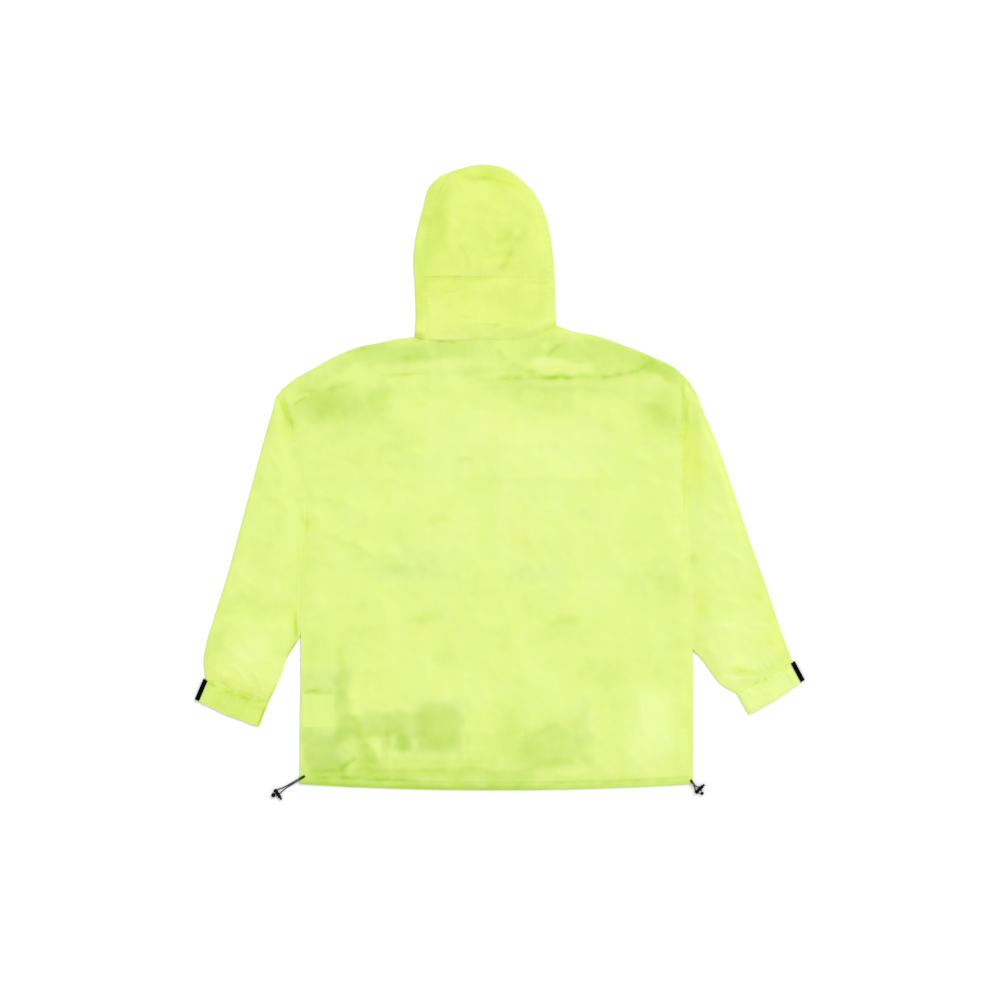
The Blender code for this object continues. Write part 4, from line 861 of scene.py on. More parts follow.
def gathered(x, y, distance):
    """Broken marks of tone and warmth where cloth is drawn up beside a seam."""
    marks = np.clip(2.6 * wander(x, y, 6.0, 21.0) + 2.0 * wander(x, y, 19.0, 22.0) + 0.2, 0.0, 1.0)
    marks = marks * np.exp(-((distance / GATHER_WIDE) ** 2))
    return marks[..., None] * GATHER_LOOK


# --- meshes ---------------------------------------------------------------------------


def link(name, mesh):
    """Adds an object to the scene."""
    thing = bpy.data.objects.new(name, mesh)
    bpy.context.scene.collection.objects.link(thing)
    return thing


def mesh_of(name, bm, material):
    """A mesh in millimetres becomes a smooth object in metres."""
    bmesh.ops.scale(bm, vec=(MM, MM, MM), verts=bm.verts)
    mesh = bpy.data.meshes.new(name)
    bm.to_mesh(mesh)
    bm.free()
    mesh.materials.append(material)
    mesh.shade_smooth()
    return link(name, mesh)


def mapped(name, spots, looks, material, closed=False, upward=True):
    """A grid whose corner (row j, column i) goes to spots[j, i].

    looks[j, i] holds its tone and warmth, and its UV map runs along the columns and rows
    in millimetres. A closed grid's last column is welded to its first.
    """
    rows = spots.shape[0] - 1
    columns = spots.shape[1] - 1
    edges = edges_of(spots)
    bm = bmesh.new()
    bmesh.ops.create_grid(bm, x_segments=columns, y_segments=rows, size=0.5)
    tone = bm.verts.layers.float.new("tone")
    warm = bm.verts.layers.float.new("warm")
    uv = bm.loops.layers.uv.new("UVMap")
    places = {}
    for vert in bm.verts:
        i = round((vert.co.x + 0.5) * columns)
        j = round((vert.co.y + 0.5) * rows)
        places[vert] = (j, i)
        vert.co = spots[j, i]
        vert[tone], vert[warm] = looks[j, i]
    for face in bm.faces:
        for loop in face.loops:
            place = places[loop.vert]
            loop[uv].uv = (edges.left[place], edges.bottom[place])
    if closed:
        bmesh.ops.remove_doubles(bm, verts=bm.verts, dist=1e-4)
        bmesh.ops.recalc_face_normals(bm, faces=bm.faces)
    bm.normal_update()
    judged = bm.faces
    if closed:
        judged = [max(bm.faces, key=lambda face: face.calc_center_median().z)]
    if (sum(face.normal.z * face.calc_area() for face in judged) > 0) != upward:
        bmesh.ops.reverse_faces(bm, faces=bm.faces)
    return mesh_of(name, bm, material)


def belong(thing, body, solid):
    """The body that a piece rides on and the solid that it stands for."""
    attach(thing, body)
    if solid:
        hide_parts(solid)


def walled(thing, thickness):
    """Gives an outer face its wall, which grows inwards."""
    wall = thing.modifiers.new("wall", "SOLIDIFY")
    wall.thickness = thickness
    wall.offset = -1.0
    wall.use_rim = True


def dress(thing, solid, thickness):
    """Gives a cloth its wall, its place in the frame and its cut."""
    walled(thing, thickness)
    belong(thing, BODY, solid)


def shell(cloth, name, solid, grid, height, look, material=None, upward=True):
    """One laid cloth of the garment at its height over a grid."""
    spots = np.dstack([grid, height])
    surfaces[solid] = spots
    material = material or nylon("nylon_shell", cloth)
    thing = mapped(name, spots, look, material, upward=upward)
    dress(thing, solid, cloth.thickness)


def ring_of(values, lower=None):
    """Values given across a flattened tube, repeated round it or with others beneath."""
    beneath = values if lower is None else lower
    return np.concatenate([values, beneath[:, -2:0:-1], values[:, :1]], axis=1)


def tube(cloth, name, solid, grid, faces, closing, look, wall=1.0, dim=1.0):
    """A flattened tube: over the top of its grid, then back beneath.

    faces are the heights of its lower and upper face. closing is (the radius that its long
    edges turn over with, how far it stays open: below 1 it closes towards its own middle).
    The cloth beneath has this dim share of the look.
    """
    low, high = faces
    radius, ends = closing
    middle = (low + high) / 2
    close = rounded(nearest(edges_of(grid), LONG_SIDES), radius) * ends
    upper = np.dstack([grid, middle + (high - middle) * close])
    lower = np.dstack([grid, middle + (low - middle) * close])
    surfaces[solid] = upper
    material = nylon("nylon_shell", cloth)
    thing = mapped(name, ring_of(upper, lower), ring_of(look, dim * look), material, closed=True)
    dress(thing, solid, wall * cloth.thickness)


# --- shader nodes ---------------------------------------------------------------------


def feed(tree, made, inputs):
    """Sets a node's inputs. Each is a value, or a socket to link from."""
    for key, value in inputs.items():
        if isinstance(value, bpy.types.NodeSocket):
            tree.links.new(value, made.inputs[key])
        else:
            made.inputs[key].default_value = value
    return made


def node(tree, kind, inputs, **settings):
    """Adds a node with these settings and inputs."""
    made = tree.nodes.new(kind)
    for key, value in settings.items():
        setattr(made, key, value)
    return feed(tree, made, inputs)


def calc(tree, operation, a, b=0.0, c=0.0):
    """The result of a Math node."""
    return node(tree, "ShaderNodeMath", {0: a, 1: b, 2: c}, operation=operation).outputs[0]


def limited(tree, value, high=1.0):
    """A value kept between 0 and high."""
    return calc(tree, "MINIMUM", calc(tree, "MAXIMUM", value, 0.0), high)


def blend_colour(tree, factor, a, b, how="MIX"):
    """Colour a where the factor is 0, b where it is 1, or a times b to multiply them."""
    mix = {"data_type": "RGBA", "clamp_factor": False, "blend_type": how}
    return feed(tree, node(tree, "ShaderNodeMix", {"Factor": factor}, **mix), {6: a, 7: b}).outputs[2]


def object_spot(tree):
    """Object coordinates, in metres."""
    return node(tree, "ShaderNodeTexCoord", {}).outputs["Object"]


def axes_of(tree, vector):
    """The X, Y and Z of a vector."""
    return node(tree, "ShaderNodeSeparateXYZ", {0: vector}).outputs


def shifted(tree, vector, by):
    """A place moved on, where the same noise reads differently."""
    return node(tree, "ShaderNodeVectorMath", {0: vector, 1: by}).outputs[0]


def clouds(tree, spot, scale, detail=2.0, roughness=0.5, distortion=0.0):
    """Soft noise round 0.5."""
    inputs = {"Vector": spot, "Scale": scale, "Detail": detail}
    inputs |= {"Roughness": roughness, "Distortion": distortion}
    return node(tree, "ShaderNodeTexNoise", inputs).outputs[0]


def swing(tree, cloud, reach):
    """Noise that swings about this far to either side of 0."""
    return calc(tree, "MULTIPLY", calc(tree, "SUBTRACT", cloud, 0.5), 2 * reach)


def yarns(tree, across, pitch):
    """Round yarns side by side, one in each pitch."""
    turn = calc(tree, "DIVIDE", calc(tree, "MULTIPLY", across, math.pi), pitch)
    return calc(tree, "ABSOLUTE", calc(tree, "SINE", turn))


def new_group(name, inputs, outputs):
    """A shader node group with named inputs (kind, default) and outputs (kind)."""
    tree = bpy.data.node_groups.new(name, "ShaderNodeTree")
    for label, (kind, default) in inputs.items():
        socket = tree.interface.new_socket(label, in_out="INPUT", socket_type=kind)
        if default is not None:
            socket.default_value = default
    for label, kind in outputs.items():
        tree.interface.new_socket(label, in_out="OUTPUT", socket_type=kind)
    return tree, tree.nodes.new("NodeGroupInput").outputs, tree.nodes.new("NodeGroupOutput").inputs


VALUE = "NodeSocketFloat"
VECTOR = "NodeSocketVector"
COLOUR = "NodeSocketColor"
MOTTLE = ((14.0, 2.2), (38.0, 1.2), (110.0, 0.4))  # scale of each cloud and how far it swings
MOST_GLOW = 1.3
MOST_SHADE = 1.5
WARM_SCALES = (22.0, 75.0)
WARM_TINT = (1.008, 1.0, 0.69, 1.0)
GREEN_SCALE = 17.0
GREEN_TINT = (0.95, 1.0, 1.01, 1.0)
OVER_LABEL = (0.697, 0.857, 0.238, 1.0)  # colour of the back where the label shows through
LABEL_SHOWS = 0.85
LABEL_PITCH = 0.28


def weave_group():
    """Plain weave: warp and weft cross over and under each other."""
    tree, given, out = new_group(
        "Plain weave",
        {"Coordinates": (VECTOR, None), "Pitch": (VALUE, 0.4 * MM)},
        {"Height": VALUE},
    )
    axes = axes_of(tree, given["Coordinates"])
    turns = calc(tree, "DIVIDE", math.pi, given["Pitch"])
    warp = calc(tree, "SINE", calc(tree, "MULTIPLY", axes[0], turns))
    weft = calc(tree, "SINE", calc(tree, "MULTIPLY", axes[1], turns))
    crossing = calc(tree, "MULTIPLY", calc(tree, "MULTIPLY", warp, weft), 2.0)
    over = limited(tree, calc(tree, "ADD", crossing, 0.5))
    under = calc(tree, "SUBTRACT", 1.0, over)
    warp_height = calc(tree, "MULTIPLY", calc(tree, "ABSOLUTE", warp), over)
    weft_height = calc(tree, "MULTIPLY", calc(tree, "ABSOLUTE", weft), under)
    tree.links.new(calc(tree, "ADD", warp_height, weft_height), out["Height"])
    return tree


def crinkle_group():
    """Fine crinkle of coated nylon: broken ridges over soft dents."""
    tree, given, out = new_group(
        "Fine crinkle", {"Coordinates": (VECTOR, None), "Scale": (VALUE, 90.0)}, {"Height": VALUE},
    )
    soft = clouds(tree, given["Coordinates"], given["Scale"], detail=3.0, distortion=0.6)
    finer = calc(tree, "MULTIPLY", given["Scale"], 2.3)
    sharp = clouds(tree, given["Coordinates"], finer, distortion=1.1)
    fold = calc(tree, "ABSOLUTE", calc(tree, "SUBTRACT", sharp, 0.5))
    ridge = calc(tree, "SUBTRACT", 1.0, calc(tree, "MULTIPLY", fold, 4.0))
    ridge = calc(tree, "MULTIPLY", calc(tree, "MAXIMUM", ridge, 0.0), 0.45)
    tree.links.new(calc(tree, "ADD", soft, ridge), out["Height"])
    return tree


def tone_group():
    """Colour of translucent cloth from its tone, mottled a little."""
    tree, given, out = new_group(
        "Cloth tone",
        {
            "Coordinates": (VECTOR, None),
            "Tone": (VALUE, 0.0),
            "Warm": (VALUE, 0.0),
            "Mottle": (VALUE, 0.2),
            "Drift": (VALUE, 0.1),
            "Cloth": (COLOUR, None),
            "Glow": (COLOUR, None),
            "Shade": (COLOUR, None),
        },
        {"Color": COLOUR},
    )
    total = given["Tone"]
    for scale, reach in MOTTLE:
        cloud = clouds(tree, given["Coordinates"], scale, detail=3.0, roughness=0.6)
        total = calc(tree, "MULTIPLY_ADD", swing(tree, cloud, reach), given["Mottle"], total)
    light = limited(tree, total, MOST_GLOW)
    dark = limited(tree, calc(tree, "MULTIPLY", total, -1.0), MOST_SHADE)
    colour = blend_colour(tree, light, given["Cloth"], given["Glow"])
    colour = blend_colour(tree, dark, colour, given["Shade"])
    warm = given["Warm"]
    apart = shifted(tree, given["Coordinates"], (3.7, 1.9, 0.0))
    for scale in WARM_SCALES:
        drift = swing(tree, clouds(tree, apart, scale), 1.0)
        warm = calc(tree, "MULTIPLY_ADD", drift, given["Drift"], warm)
    tint = blend_colour(tree, warm, colour, WARM_TINT, "MULTIPLY")
    green = swing(tree, clouds(tree, shifted(tree, apart, (5.3, 2.1, 0.0)), GREEN_SCALE), 0.8)
    tint = blend_colour(tree, green, tint, GREEN_TINT, "MULTIPLY")
    tree.links.new(tint, out["Color"])
    return tree


def patch_group():
    """1 inside an upright rectangle, fading over a soft edge."""
    tree, given, out = new_group(
        "Show-through patch",
        {
            "Coordinates": (VECTOR, None),
            "Low": (VECTOR, (0.0, 0.0, 0.0)),
            "High": (VECTOR, (1.0, 1.0, 0.0)),
            "Soft": (VALUE, MM),
        },
        {"Mask": VALUE},
    )
    spot, low, high = (axes_of(tree, given[name]) for name in ("Coordinates", "Low", "High"))
    mask = None
    for k in (0, 1):
        for inner, outer in ((spot[k], low[k]), (high[k], spot[k])):
            depth = calc(tree, "DIVIDE", calc(tree, "SUBTRACT", inner, outer), given["Soft"])
            depth = limited(tree, depth)
            mask = depth if mask is None else calc(tree, "MULTIPLY", mask, depth)
    tree.links.new(mask, out["Mask"])
    return tree


def rib_group():
    """Woven webbing in UV millimetres: ribs along it, crossed by a fine weft."""
    tree, given, out = new_group(
        "Webbing ribs",
        {"UV": (VECTOR, None), "Rib": (VALUE, 1.1), "Weft": (VALUE, 0.55)},
        {"Height": VALUE},
    )
    axes = axes_of(tree, given["UV"])
    weft = calc(tree, "ADD", calc(tree, "MULTIPLY", yarns(tree, axes[0], given["Weft"]), 0.5), 0.5)
    height = calc(tree, "MULTIPLY", weft, yarns(tree, axes[1], given["Rib"]))
    tree.links.new(height, out["Height"])
    return tree


def braid_group():
    """Braided sheath in UV millimetres: yarns that cross each other on the slant."""
    tree, given, out = new_group(
        "Braid", {"UV": (VECTOR, None), "Pitch": (VALUE, 0.86)}, {"Height": VALUE},
    )
    axes = axes_of(tree, given["UV"])
    slants = [calc(tree, "MULTIPLY_ADD", axes[1], sign, axes[0]) for sign in (1.0, -1.0)]
    height = calc(tree, "MAXIMUM", *(yarns(tree, slant, given["Pitch"]) for slant in slants))
    tree.links.new(height, out["Height"])
    return tree


def wear_group():
    """Slightly uneven surface: a value round 0 that shifts roughness, and a fine grain."""
    tree, given, out = new_group(
        "Handling wear",
        {"Coordinates": (VECTOR, None), "Scale": (VALUE, 300.0)},
        {"Shift": VALUE, "Grain": VALUE},
    )
    cloud = clouds(tree, given["Coordinates"], given["Scale"], detail=4.0)
    finer = calc(tree, "MULTIPLY", given["Scale"], 14.0)
    grain = clouds(tree, given["Coordinates"], finer, detail=1.0)
    tree.links.new(calc(tree, "SUBTRACT", cloud, 0.5), out["Shift"])
    tree.links.new(grain, out["Grain"])
    return tree


GROUPS = {
    "Plain weave": weave_group,
    "Fine crinkle": crinkle_group,
    "Cloth tone": tone_group,
    "Show-through patch": patch_group,
    "Webbing ribs": rib_group,
    "Braid": braid_group,
    "Handling wear": wear_group,
}


def use(tree, name, inputs):
    """Places a shared node group, which is built the first time it is asked for."""
    made = tree.nodes.new("ShaderNodeGroup")
    made.node_tree = bpy.data.node_groups.get(name) or GROUPS[name]()
    return feed(tree, made, inputs).outputs


def new_material(name, constants):
    """(material, its tree, its shader) with the shader's plain values set."""
    material = bpy.data.materials.new(name)
    material.use_nodes = True
    tree = material.node_tree
    return material, tree, feed(tree, tree.nodes["Principled BSDF"], constants)


def raise_surface(tree, shader, layers):
    """Stacks Bump nodes, coarse to fine: (height socket, depth in metres, strength)."""
    normal = None
    for height, depth, strength in layers:
        inputs = {"Height": height, "Distance": depth, "Strength": strength}
        if normal is not None:
            inputs["Normal"] = normal
        normal = node(tree, "ShaderNodeBump", inputs).outputs[0]
    tree.links.new(normal, shader.inputs["Normal"])


def colour4(value, share=1.0):
    """A share of a colour, with full alpha."""
    return (*(share * channel for channel in value), 1.0)


def nylon(name, cloth, with_label=False):
    """Thin coated nylon that lets what lies behind it show."""
    material = bpy.data.materials.get(name)
    if material:
        return material
    material, tree, shader = new_material(
        name, {"IOR": 1.45, "Specular IOR Level": 0.3, "Sheen Weight": 0.12, "Sheen Roughness": 0.45},
    )
    spot = object_spot(tree)
    # The tone attribute holds the show-through together with the painted light and shade of each piece.
    tone, warm = (
        node(tree, "ShaderNodeAttribute", {}, attribute_name=field).outputs["Fac"]
        for field in ("tone", "warm")
    )
    colour = use(
        tree, "Cloth tone",
        {
            "Coordinates": spot, "Tone": tone, "Warm": warm, "Mottle": 0.2, "Drift": 0.22,
            "Cloth": colour4(cloth.base), "Glow": colour4(cloth.glow), "Shade": colour4(cloth.shade),
        },
    )["Color"]
    if with_label:
        mask = use(
            tree, "Show-through patch",
            {
                "Coordinates": spot, "Soft": 0.9 * MM,
                "Low": (LABEL_X.low * MM, LABEL_Y.low * MM, 0.0),
                "High": (LABEL_X.high * MM, LABEL_Y.high * MM, 0.0),
            },
        )["Mask"]
        mask = calc(tree, "MULTIPLY", mask, LABEL_SHOWS)
        colour = blend_colour(tree, mask, colour, OVER_LABEL)
    tree.links.new(colour, shader.inputs["Base Color"])
    wear = use(tree, "Handling wear", {"Coordinates": spot, "Scale": 70.0})
    rough = calc(tree, "MULTIPLY_ADD", wear["Shift"], 0.25, 0.48)
    tree.links.new(rough, shader.inputs["Roughness"])
    fine = use(tree, "Fine crinkle", {"Coordinates": spot, "Scale": 95.0})["Height"]
    yarn = use(tree, "Plain weave", {"Coordinates": spot, "Pitch": cloth.weave})["Height"]
    raise_surface(tree, shader, [(fine, 0.5 * MM, 0.13), (yarn, 0.05 * MM, 0.2)])
    return material


TrimLook = namedtuple(
    "TrimLook", "ior gloss sheen pattern dark light wear_scale wear_swing rough depth strength"
)
TRIM_LOOKS = {
    "webbing": TrimLook(1.5, 0.03, 0.0, "Webbing ribs", 0.45, 1.5, 260.0, 0.3, 0.72, 0.25, 0.8),
    "braided_cord": TrimLook(1.5, 0.03, 0.0, "Braid", 0.35, 1.6, 400.0, 0.3, 0.66, 0.16, 0.9),
    "moulded_plastic": TrimLook(1.49, 0.08, 0.0, "Grain", 0.8, 1.25, 260.0, 0.35, 0.38, 0.03, 0.5),
    "plunger_plastic": TrimLook(1.49, 0.08, 0.0, "Grain", 0.8, 1.25, 260.0, 0.35, 0.3, 0.03, 0.5),
    "label_satin": TrimLook(1.45, 0.5, 0.15, "Plain weave", 0.9, 1.03, 120.0, 0.3, 0.5, 0.06, 0.5),
    "sewing_thread": TrimLook(1.45, 0.5, 0.2, "Grain", 1.0, 1.0, 800.0, 0.3, 0.6, 0.05, 0.5),
}


def trim_look(name, low, high=None):
    """A trim's material: its pattern stands up, and runs from one colour to the other."""
    look = TRIM_LOOKS[name]
    material, tree, shader = new_material(
        name, {"IOR": look.ior, "Specular IOR Level": look.gloss, "Sheen Weight": look.sheen},
    )
    spot = object_spot(tree)
    wear = use(tree, "Handling wear", {"Coordinates": spot, "Scale": look.wear_scale})
    if look.pattern == "Grain":
        height = wear["Grain"]
    elif look.pattern == "Plain weave":
        height = use(tree, look.pattern, {"Coordinates": spot, "Pitch": LABEL_PITCH * MM})["Height"]
    else:
        uv = node(tree, "ShaderNodeUVMap", {}, uv_map="UVMap").outputs[0]
        height = use(tree, look.pattern, {"UV": uv})["Height"]
    # On the webbing, the braid and the label's weave the low parts take the darker colour as painted
    # shade and the raised yarns the lighter as painted light; on the plastics and the thread the colour
    # follows a random grain.
    colour = blend_colour(tree, height, colour4(low, look.dark), colour4(high or low, look.light))
    tree.links.new(colour, shader.inputs["Base Color"])
    rough = calc(tree, "MULTIPLY_ADD", wear["Shift"], look.wear_swing, look.rough)
    tree.links.new(rough, shader.inputs["Roughness"])
    raise_surface(tree, shader, [(height, look.depth * MM, look.strength)])
    return material


# --- pieces ---------------------------------------------------------------------------


def hem_line(fractions, rise):
    """The hem from left to right, bowed down in the middle and raised by rise."""
    f = np.asarray(fractions)
    bow = HEM_BOW * (1 - (2 * f - 1) ** 2)
    left = BODY_LEFT[0]
    right = BODY_RIGHT[0]
    return np.column_stack([left.x + (right.x - left.x) * f, left.y - bow + rise])


def body_top(fractions):
    """The body's upper edge: one third of it for each shoulder and one for the neck."""
    f = np.asarray(fractions) * 3
    runs = [curve(rows, f - k) for k, rows in enumerate((SHOULDER_LEFT, NECK, SHOULDER_RIGHT))]
    pick = np.clip(f.astype(int), 0, 2)
    return np.choose(pick[:, None], runs)


def body_grid(columns, rows):
    """The body as a grid, denser over the left folds, the yoke and the hem."""
    us = eased(columns, 675.0, [Dense(66.0, 24.0, 0.7), Dense(150.0, 24.0, 0.6)])
    vs = eased(rows, 740.0, [Dense(665.0, 42.0, 1.6), Dense(60.0, 60.0, 0.8)])
    bottom = hem_line(us, HEM_TUNNEL - LAP)
    left = heights(BODY_LEFT, bottom[0, 1] + (BODY_LEFT[-1].y - bottom[0, 1]) * vs)
    right = heights(BODY_RIGHT, bottom[-1, 1] + (BODY_RIGHT[-1].y - bottom[-1, 1]) * vs)
    return patch(bottom, body_top(us), left, right, us, vs)


def side_x(side, y):
    """X of the body's own edge at this height."""
    return heights(BODY_LEFT if side < 0 else BODY_RIGHT, np.ravel(y))[:, 0].reshape(np.shape(y))


def past_side(x, y):
    """How far outside the body's own edge each point is."""
    return np.abs(x) - np.where(x < 0, -side_x(-1, y), side_x(1, y))


def sleeve_lift(x, y):
    """How far the body rides up over the sleeves that lie under its sides."""
    reach = 1 - soft_step((-past_side(x, y) - LIFT_WIDE) / LIFT_FADE)
    return SLEEVE_LIFT * reach * inside(SLEEVE_UNDER, y)


def sleeve_height(x, y):
    """(height of the sleeve under the body's side, how clear of it, how far it rises beside it)."""
    out = past_side(x, y)
    clear = soft_step((out + 4.5) / 3.0)
    beside = MEETING * soft_step((out + 1.5) / 1.5) * np.exp(-np.maximum(out, 0.0) / 16.0)
    return PRESSED + (FLAT - PRESSED) * clear, clear, beside * inside(SLEEVE_UNDER, y)


def open_edges(edges, x, y):
    """How far in from the sides and the shoulders, where the armholes and neck don't count."""
    sewn = 60.0 * soft_step((y - UNDERARM_Y) / 14.0)
    neck = 60.0 * inside(Window(NECK[0].x + 8, NECK[-1].x - 8, 8.0), x)
    return edges.left + sewn, edges.right + sewn, edges.top + neck


def groove(distance, depth):
    """The line of a seam, pulled down by its stitches."""
    return -depth * np.exp(-((distance / 1.3) ** 2))


def lapped(distance, share=1.0):
    """Cloth that goes down under the panel it is sewn to."""
    return -DIP * share * (1 - soft_step(distance / (2.2 * LAP)))


def make_back(cloth):
    """The back: shell over the front, the sleeves' edges and the label."""
    grid = body_grid(*BACK_STEPS)
    x, y, edges = spread(grid)
    left, right, shoulder = open_edges(edges, x, y)
    close = rounded(np.minimum(np.minimum(left, right), shoulder), TURN)
    sides = nearest(edges, LONG_SIDES)
    fade = soft_step(sides / 26.0) * soft_step(np.minimum(edges.top / 50.0, edges.bottom / 44.0))
    label = (LABEL_WALL + SEAM) * inside(LABEL_X, x) * inside(LABEL_Y, y)
    rumple, doubling_and_crease_shading = upper_rumple(cloth, x, y, 1.0, 0.35)
    rumple = rumple * soft_step(sides / RUMPLE_FADE) * soft_step(nearest(edges, ENDS) / 7.0)
    ripple = puckers(edges, x, y, BACK_PUCKERS)
    top = FLAT + np.maximum(label, air(x, y) * fade + rumple) + ripple
    top = np.maximum(top + 1.3 * np.clip(doubling_and_crease_shading + 0.25, -1.0, 0.0) * fade, FLAT + label - 0.2)
    top = top + groove(edges.top, 0.1) + HEM_STEP * (1 - soft_step(edges.bottom / 6.0))
    below = inside(SLEEVE_UNDER, y)
    edge = EDGE_HIGH + EDGE_RISE * below
    z = sleeve_lift(x, y) + edge + (top - edge) * close
    look = look_at(x, y)
    # Painted light on the ridges; shade of the turnings and painted shade along the rims, stronger on
    # the right; painted light along the edge that lies over a sleeve.
    look[..., 0] += doubling_and_crease_shading + RIDGE_PAINTED_LIGHT * np.clip(rumple, -1, 1)
    look[..., 0] += rim_turning_and_shade(left, 0.1) + rim_turning_and_shade(right, 0.25) * (1 - below)
    look[..., 0] += rim_turning_and_shade(shoulder, 0.4) + EDGE_PAINTED_LIGHT * below * np.exp(-sides / 1.5)
    material = nylon("nylon_back", cloth, with_label=True)
    shell(cloth, "back_panel", "body_back", grid, z, look, material)


def make_front(cloth):
    """The front: face down on the floor, its own creases pressed flat."""
    grid = body_grid(*FRONT_STEPS)
    x, y, edges = spread(grid)
    left, right, shoulder = open_edges(edges, x, y)
    rim = np.minimum(np.minimum(left, right), shoulder)
    close = rounded(rim, TURN)
    rumple = lower_rumple(cloth, x, y, 5.0, (-x - 12, y + 17))
    rumple = rumple * soft_step(nearest(edges) / RUMPLE_FADE)
    z = sleeve_lift(x, y) + EDGE_LOW + (rumple - EDGE_LOW) * close
    below, _, meeting = sleeve_height(x, y)
    under = inside(SLEEVE_UNDER, y) * (1 - soft_step((rim - 5.0) / 3.0))
    z = z + np.maximum(below + meeting + CLEAR - z, 0.0) * under
    look = look_at(x, y, LOWER_LOOK)
    # Shade of the turnings and painted shade along the rims.
    look[..., 0] += rim_turning_and_shade(rim, 0.4)
    shell(cloth, "front_panel", "body_front", grid, z, look, upward=False)


def make_hem(cloth, name, node_name, floor, upper):
    """One tunnel of the hem: turned-up cloth, stitched flat, with the cord inside."""
    us = eased(HEM_STEPS[0], HEM_TUNNEL)
    vs = eased(HEM_STEPS[1], 670.0)
    low = hem_line(vs, 0.0)
    high = hem_line(vs, HEM_TUNNEL)
    grid = patch(between(low[0], high[0], us), between(low[-1], high[-1], us), low, high, us, vs)
    x, y, edges = spread(grid)
    across = edges.left
    belly = np.sin(np.pi * across / HEM_TUNNEL)
    swell = np.sin(x / 9.5 + 2 * np.sin(x / 41))
    doubling_and_crease_shading = crease_at(x, y)[1]
    relief = 0.0
    if upper:
        ripple = (0.45 + 0.3 * swell + 0.2 * np.sin(x / 23.0 + 1.0)) * belly
        ripple = ripple + 0.3 * np.exp(-(((across - 7.0) / 2.2) ** 2))
        drawn = 0.18 * np.sin(x / 2.1 + 2.5 * np.sin(x / 17)) * np.exp(-edges.right / 4.0)
        sunk = HEM_GROOVE * np.clip(doubling_and_crease_shading, -1.0, 0.0) * soft_step(across / 1.5)
        relief = ripple + drawn + sunk
    base = np.full_like(x, floor)
    ends = 0.55 + 0.45 * rounded(nearest(edges, ENDS), TURN)
    # Painted shade and warmth along the creases, painted light on the swells of the ripple, the tunnel
    # darker overall, and painted shade along its lower edge, strongest on the left.
    look = look_at(x, y) + doubling_and_crease_shading[..., None] * HEM_LOOK
    look[..., 0] += 0.1 * swell * belly - 0.33
    look[..., 0] += rim_turning_and_shade(across, 1.0 - 0.75 * soft_step((x - 30.0) / 150.0))
    faces = (base, base + HEM_WALL + relief)
    tube(cloth, name, node_name, grid, faces, (HEM_WALL, ends), look)


def make_sleeve(cloth, side, outer, inner):
    """One sleeve as a flattened tube, from the armhole to the cuff's seam."""
    us = eased(SLEEVE_STEPS[0], 165.0)
    vs = eased(SLEEVE_STEPS[1], 560.0, [Dense(500.0, 60.0, 0.7)])
    top_y = outer[0].y
    ys = top_y + (UNDERARM_Y - top_y) * us
    turned_in = UNDERARM_TURN * np.clip((us - 0.8) / 0.2, 0.0, 1.0) ** 2
    armhole = np.column_stack([side_x(side, ys) - side * (LAP + turned_in), ys])
    cuff = between(outer[-1], inner[-1], us)
    outer_run = curve([Point(*armhole[0])] + outer[1:], vs)
    inner_run = curve([Point(*armhole[-1])] + inner[1:], vs)
    grid = patch(armhole, cuff, outer_run, inner_run, us, vs)
    x, y, edges = spread(grid)
    u = us[None, :]
    v = vs[:, None]
    out = past_side(x, y)
    rim = soft_step(edges.left / 24.0) * soft_step(edges.right / 18.0)
    rim = rim * soft_step((edges.top + 4.0) / 26.0)
    beside = soft_step((out - 4.0) / 30.0)
    gather = np.cos(2 * np.pi * 9 * u + 2.1 * np.sin(11 * u + side))
    gather = gather + 0.6 * np.cos(2 * np.pi * 21 * u + 2.0)
    gather = 0.3 * gather * (0.6 + 0.4 * np.sin(13 * u + 2 * side)) * soft_step((v - 0.88) / 0.12)
    rumple, doubling_and_crease_shading = upper_rumple(cloth, x, y, 2.0 + side, 0.3)
    rumple = rumple * soft_step(nearest(edges, LONG_SIDES) / 10.0) * soft_step((edges.top + 1.0) / 9.0)
    ripple = pucker(edges.bottom, y, 11.0, 0.3) + lapped(edges.bottom)
    height, clear, meeting = sleeve_height(x, y)
    under = inside(SLEEVE_UNDER, y)
    pressed = (1 - clear) * under
    top = FLAT + (air(x, y) + gather) * rim * beside
    top = top + rumple * np.maximum(beside, 0.25 * (1 - under)) + ripple
    raised = SLEEVE_LIFT * under * clear * np.exp(-edges.bottom / 22.0)
    top = top + (height - top) * pressed + raised + meeting
    below = lower_rumple(cloth, x, y, 6.0 + side, (x + 9, y - 23), 0.4, 0.45)
    below = below * rim * (1 - pressed) + raised
    look = look_at(x, y)
    # Painted light and shade on the ridges and gathers; shade of the turnings and painted shade along
    # the rims; painted light where the body's edge lies over the sleeve.
    look[..., 0] += doubling_and_crease_shading + RIDGE_PAINTED_LIGHT * np.clip(rumple, -1, 1) + 0.25 * np.clip(gather, -0.4, 0.4)
    look[..., 0] += rim_turning_and_shade(edges.left, 0.3) + rim_turning_and_shade(edges.right, 0.15)
    look[..., 0] += EDGE_PAINTED_LIGHT * under * np.exp(-((out / 2.5) ** 2))
    look += gathered(x, y, edges.top)
    word = WORDS[side]
    name, solid = f"{word}_sleeve", f"sleeve_{word}"
    tube(cloth, name, solid, grid, (below, top), (SLEEVE_TURN, 1.0), look, dim=LOWER_LOOK)


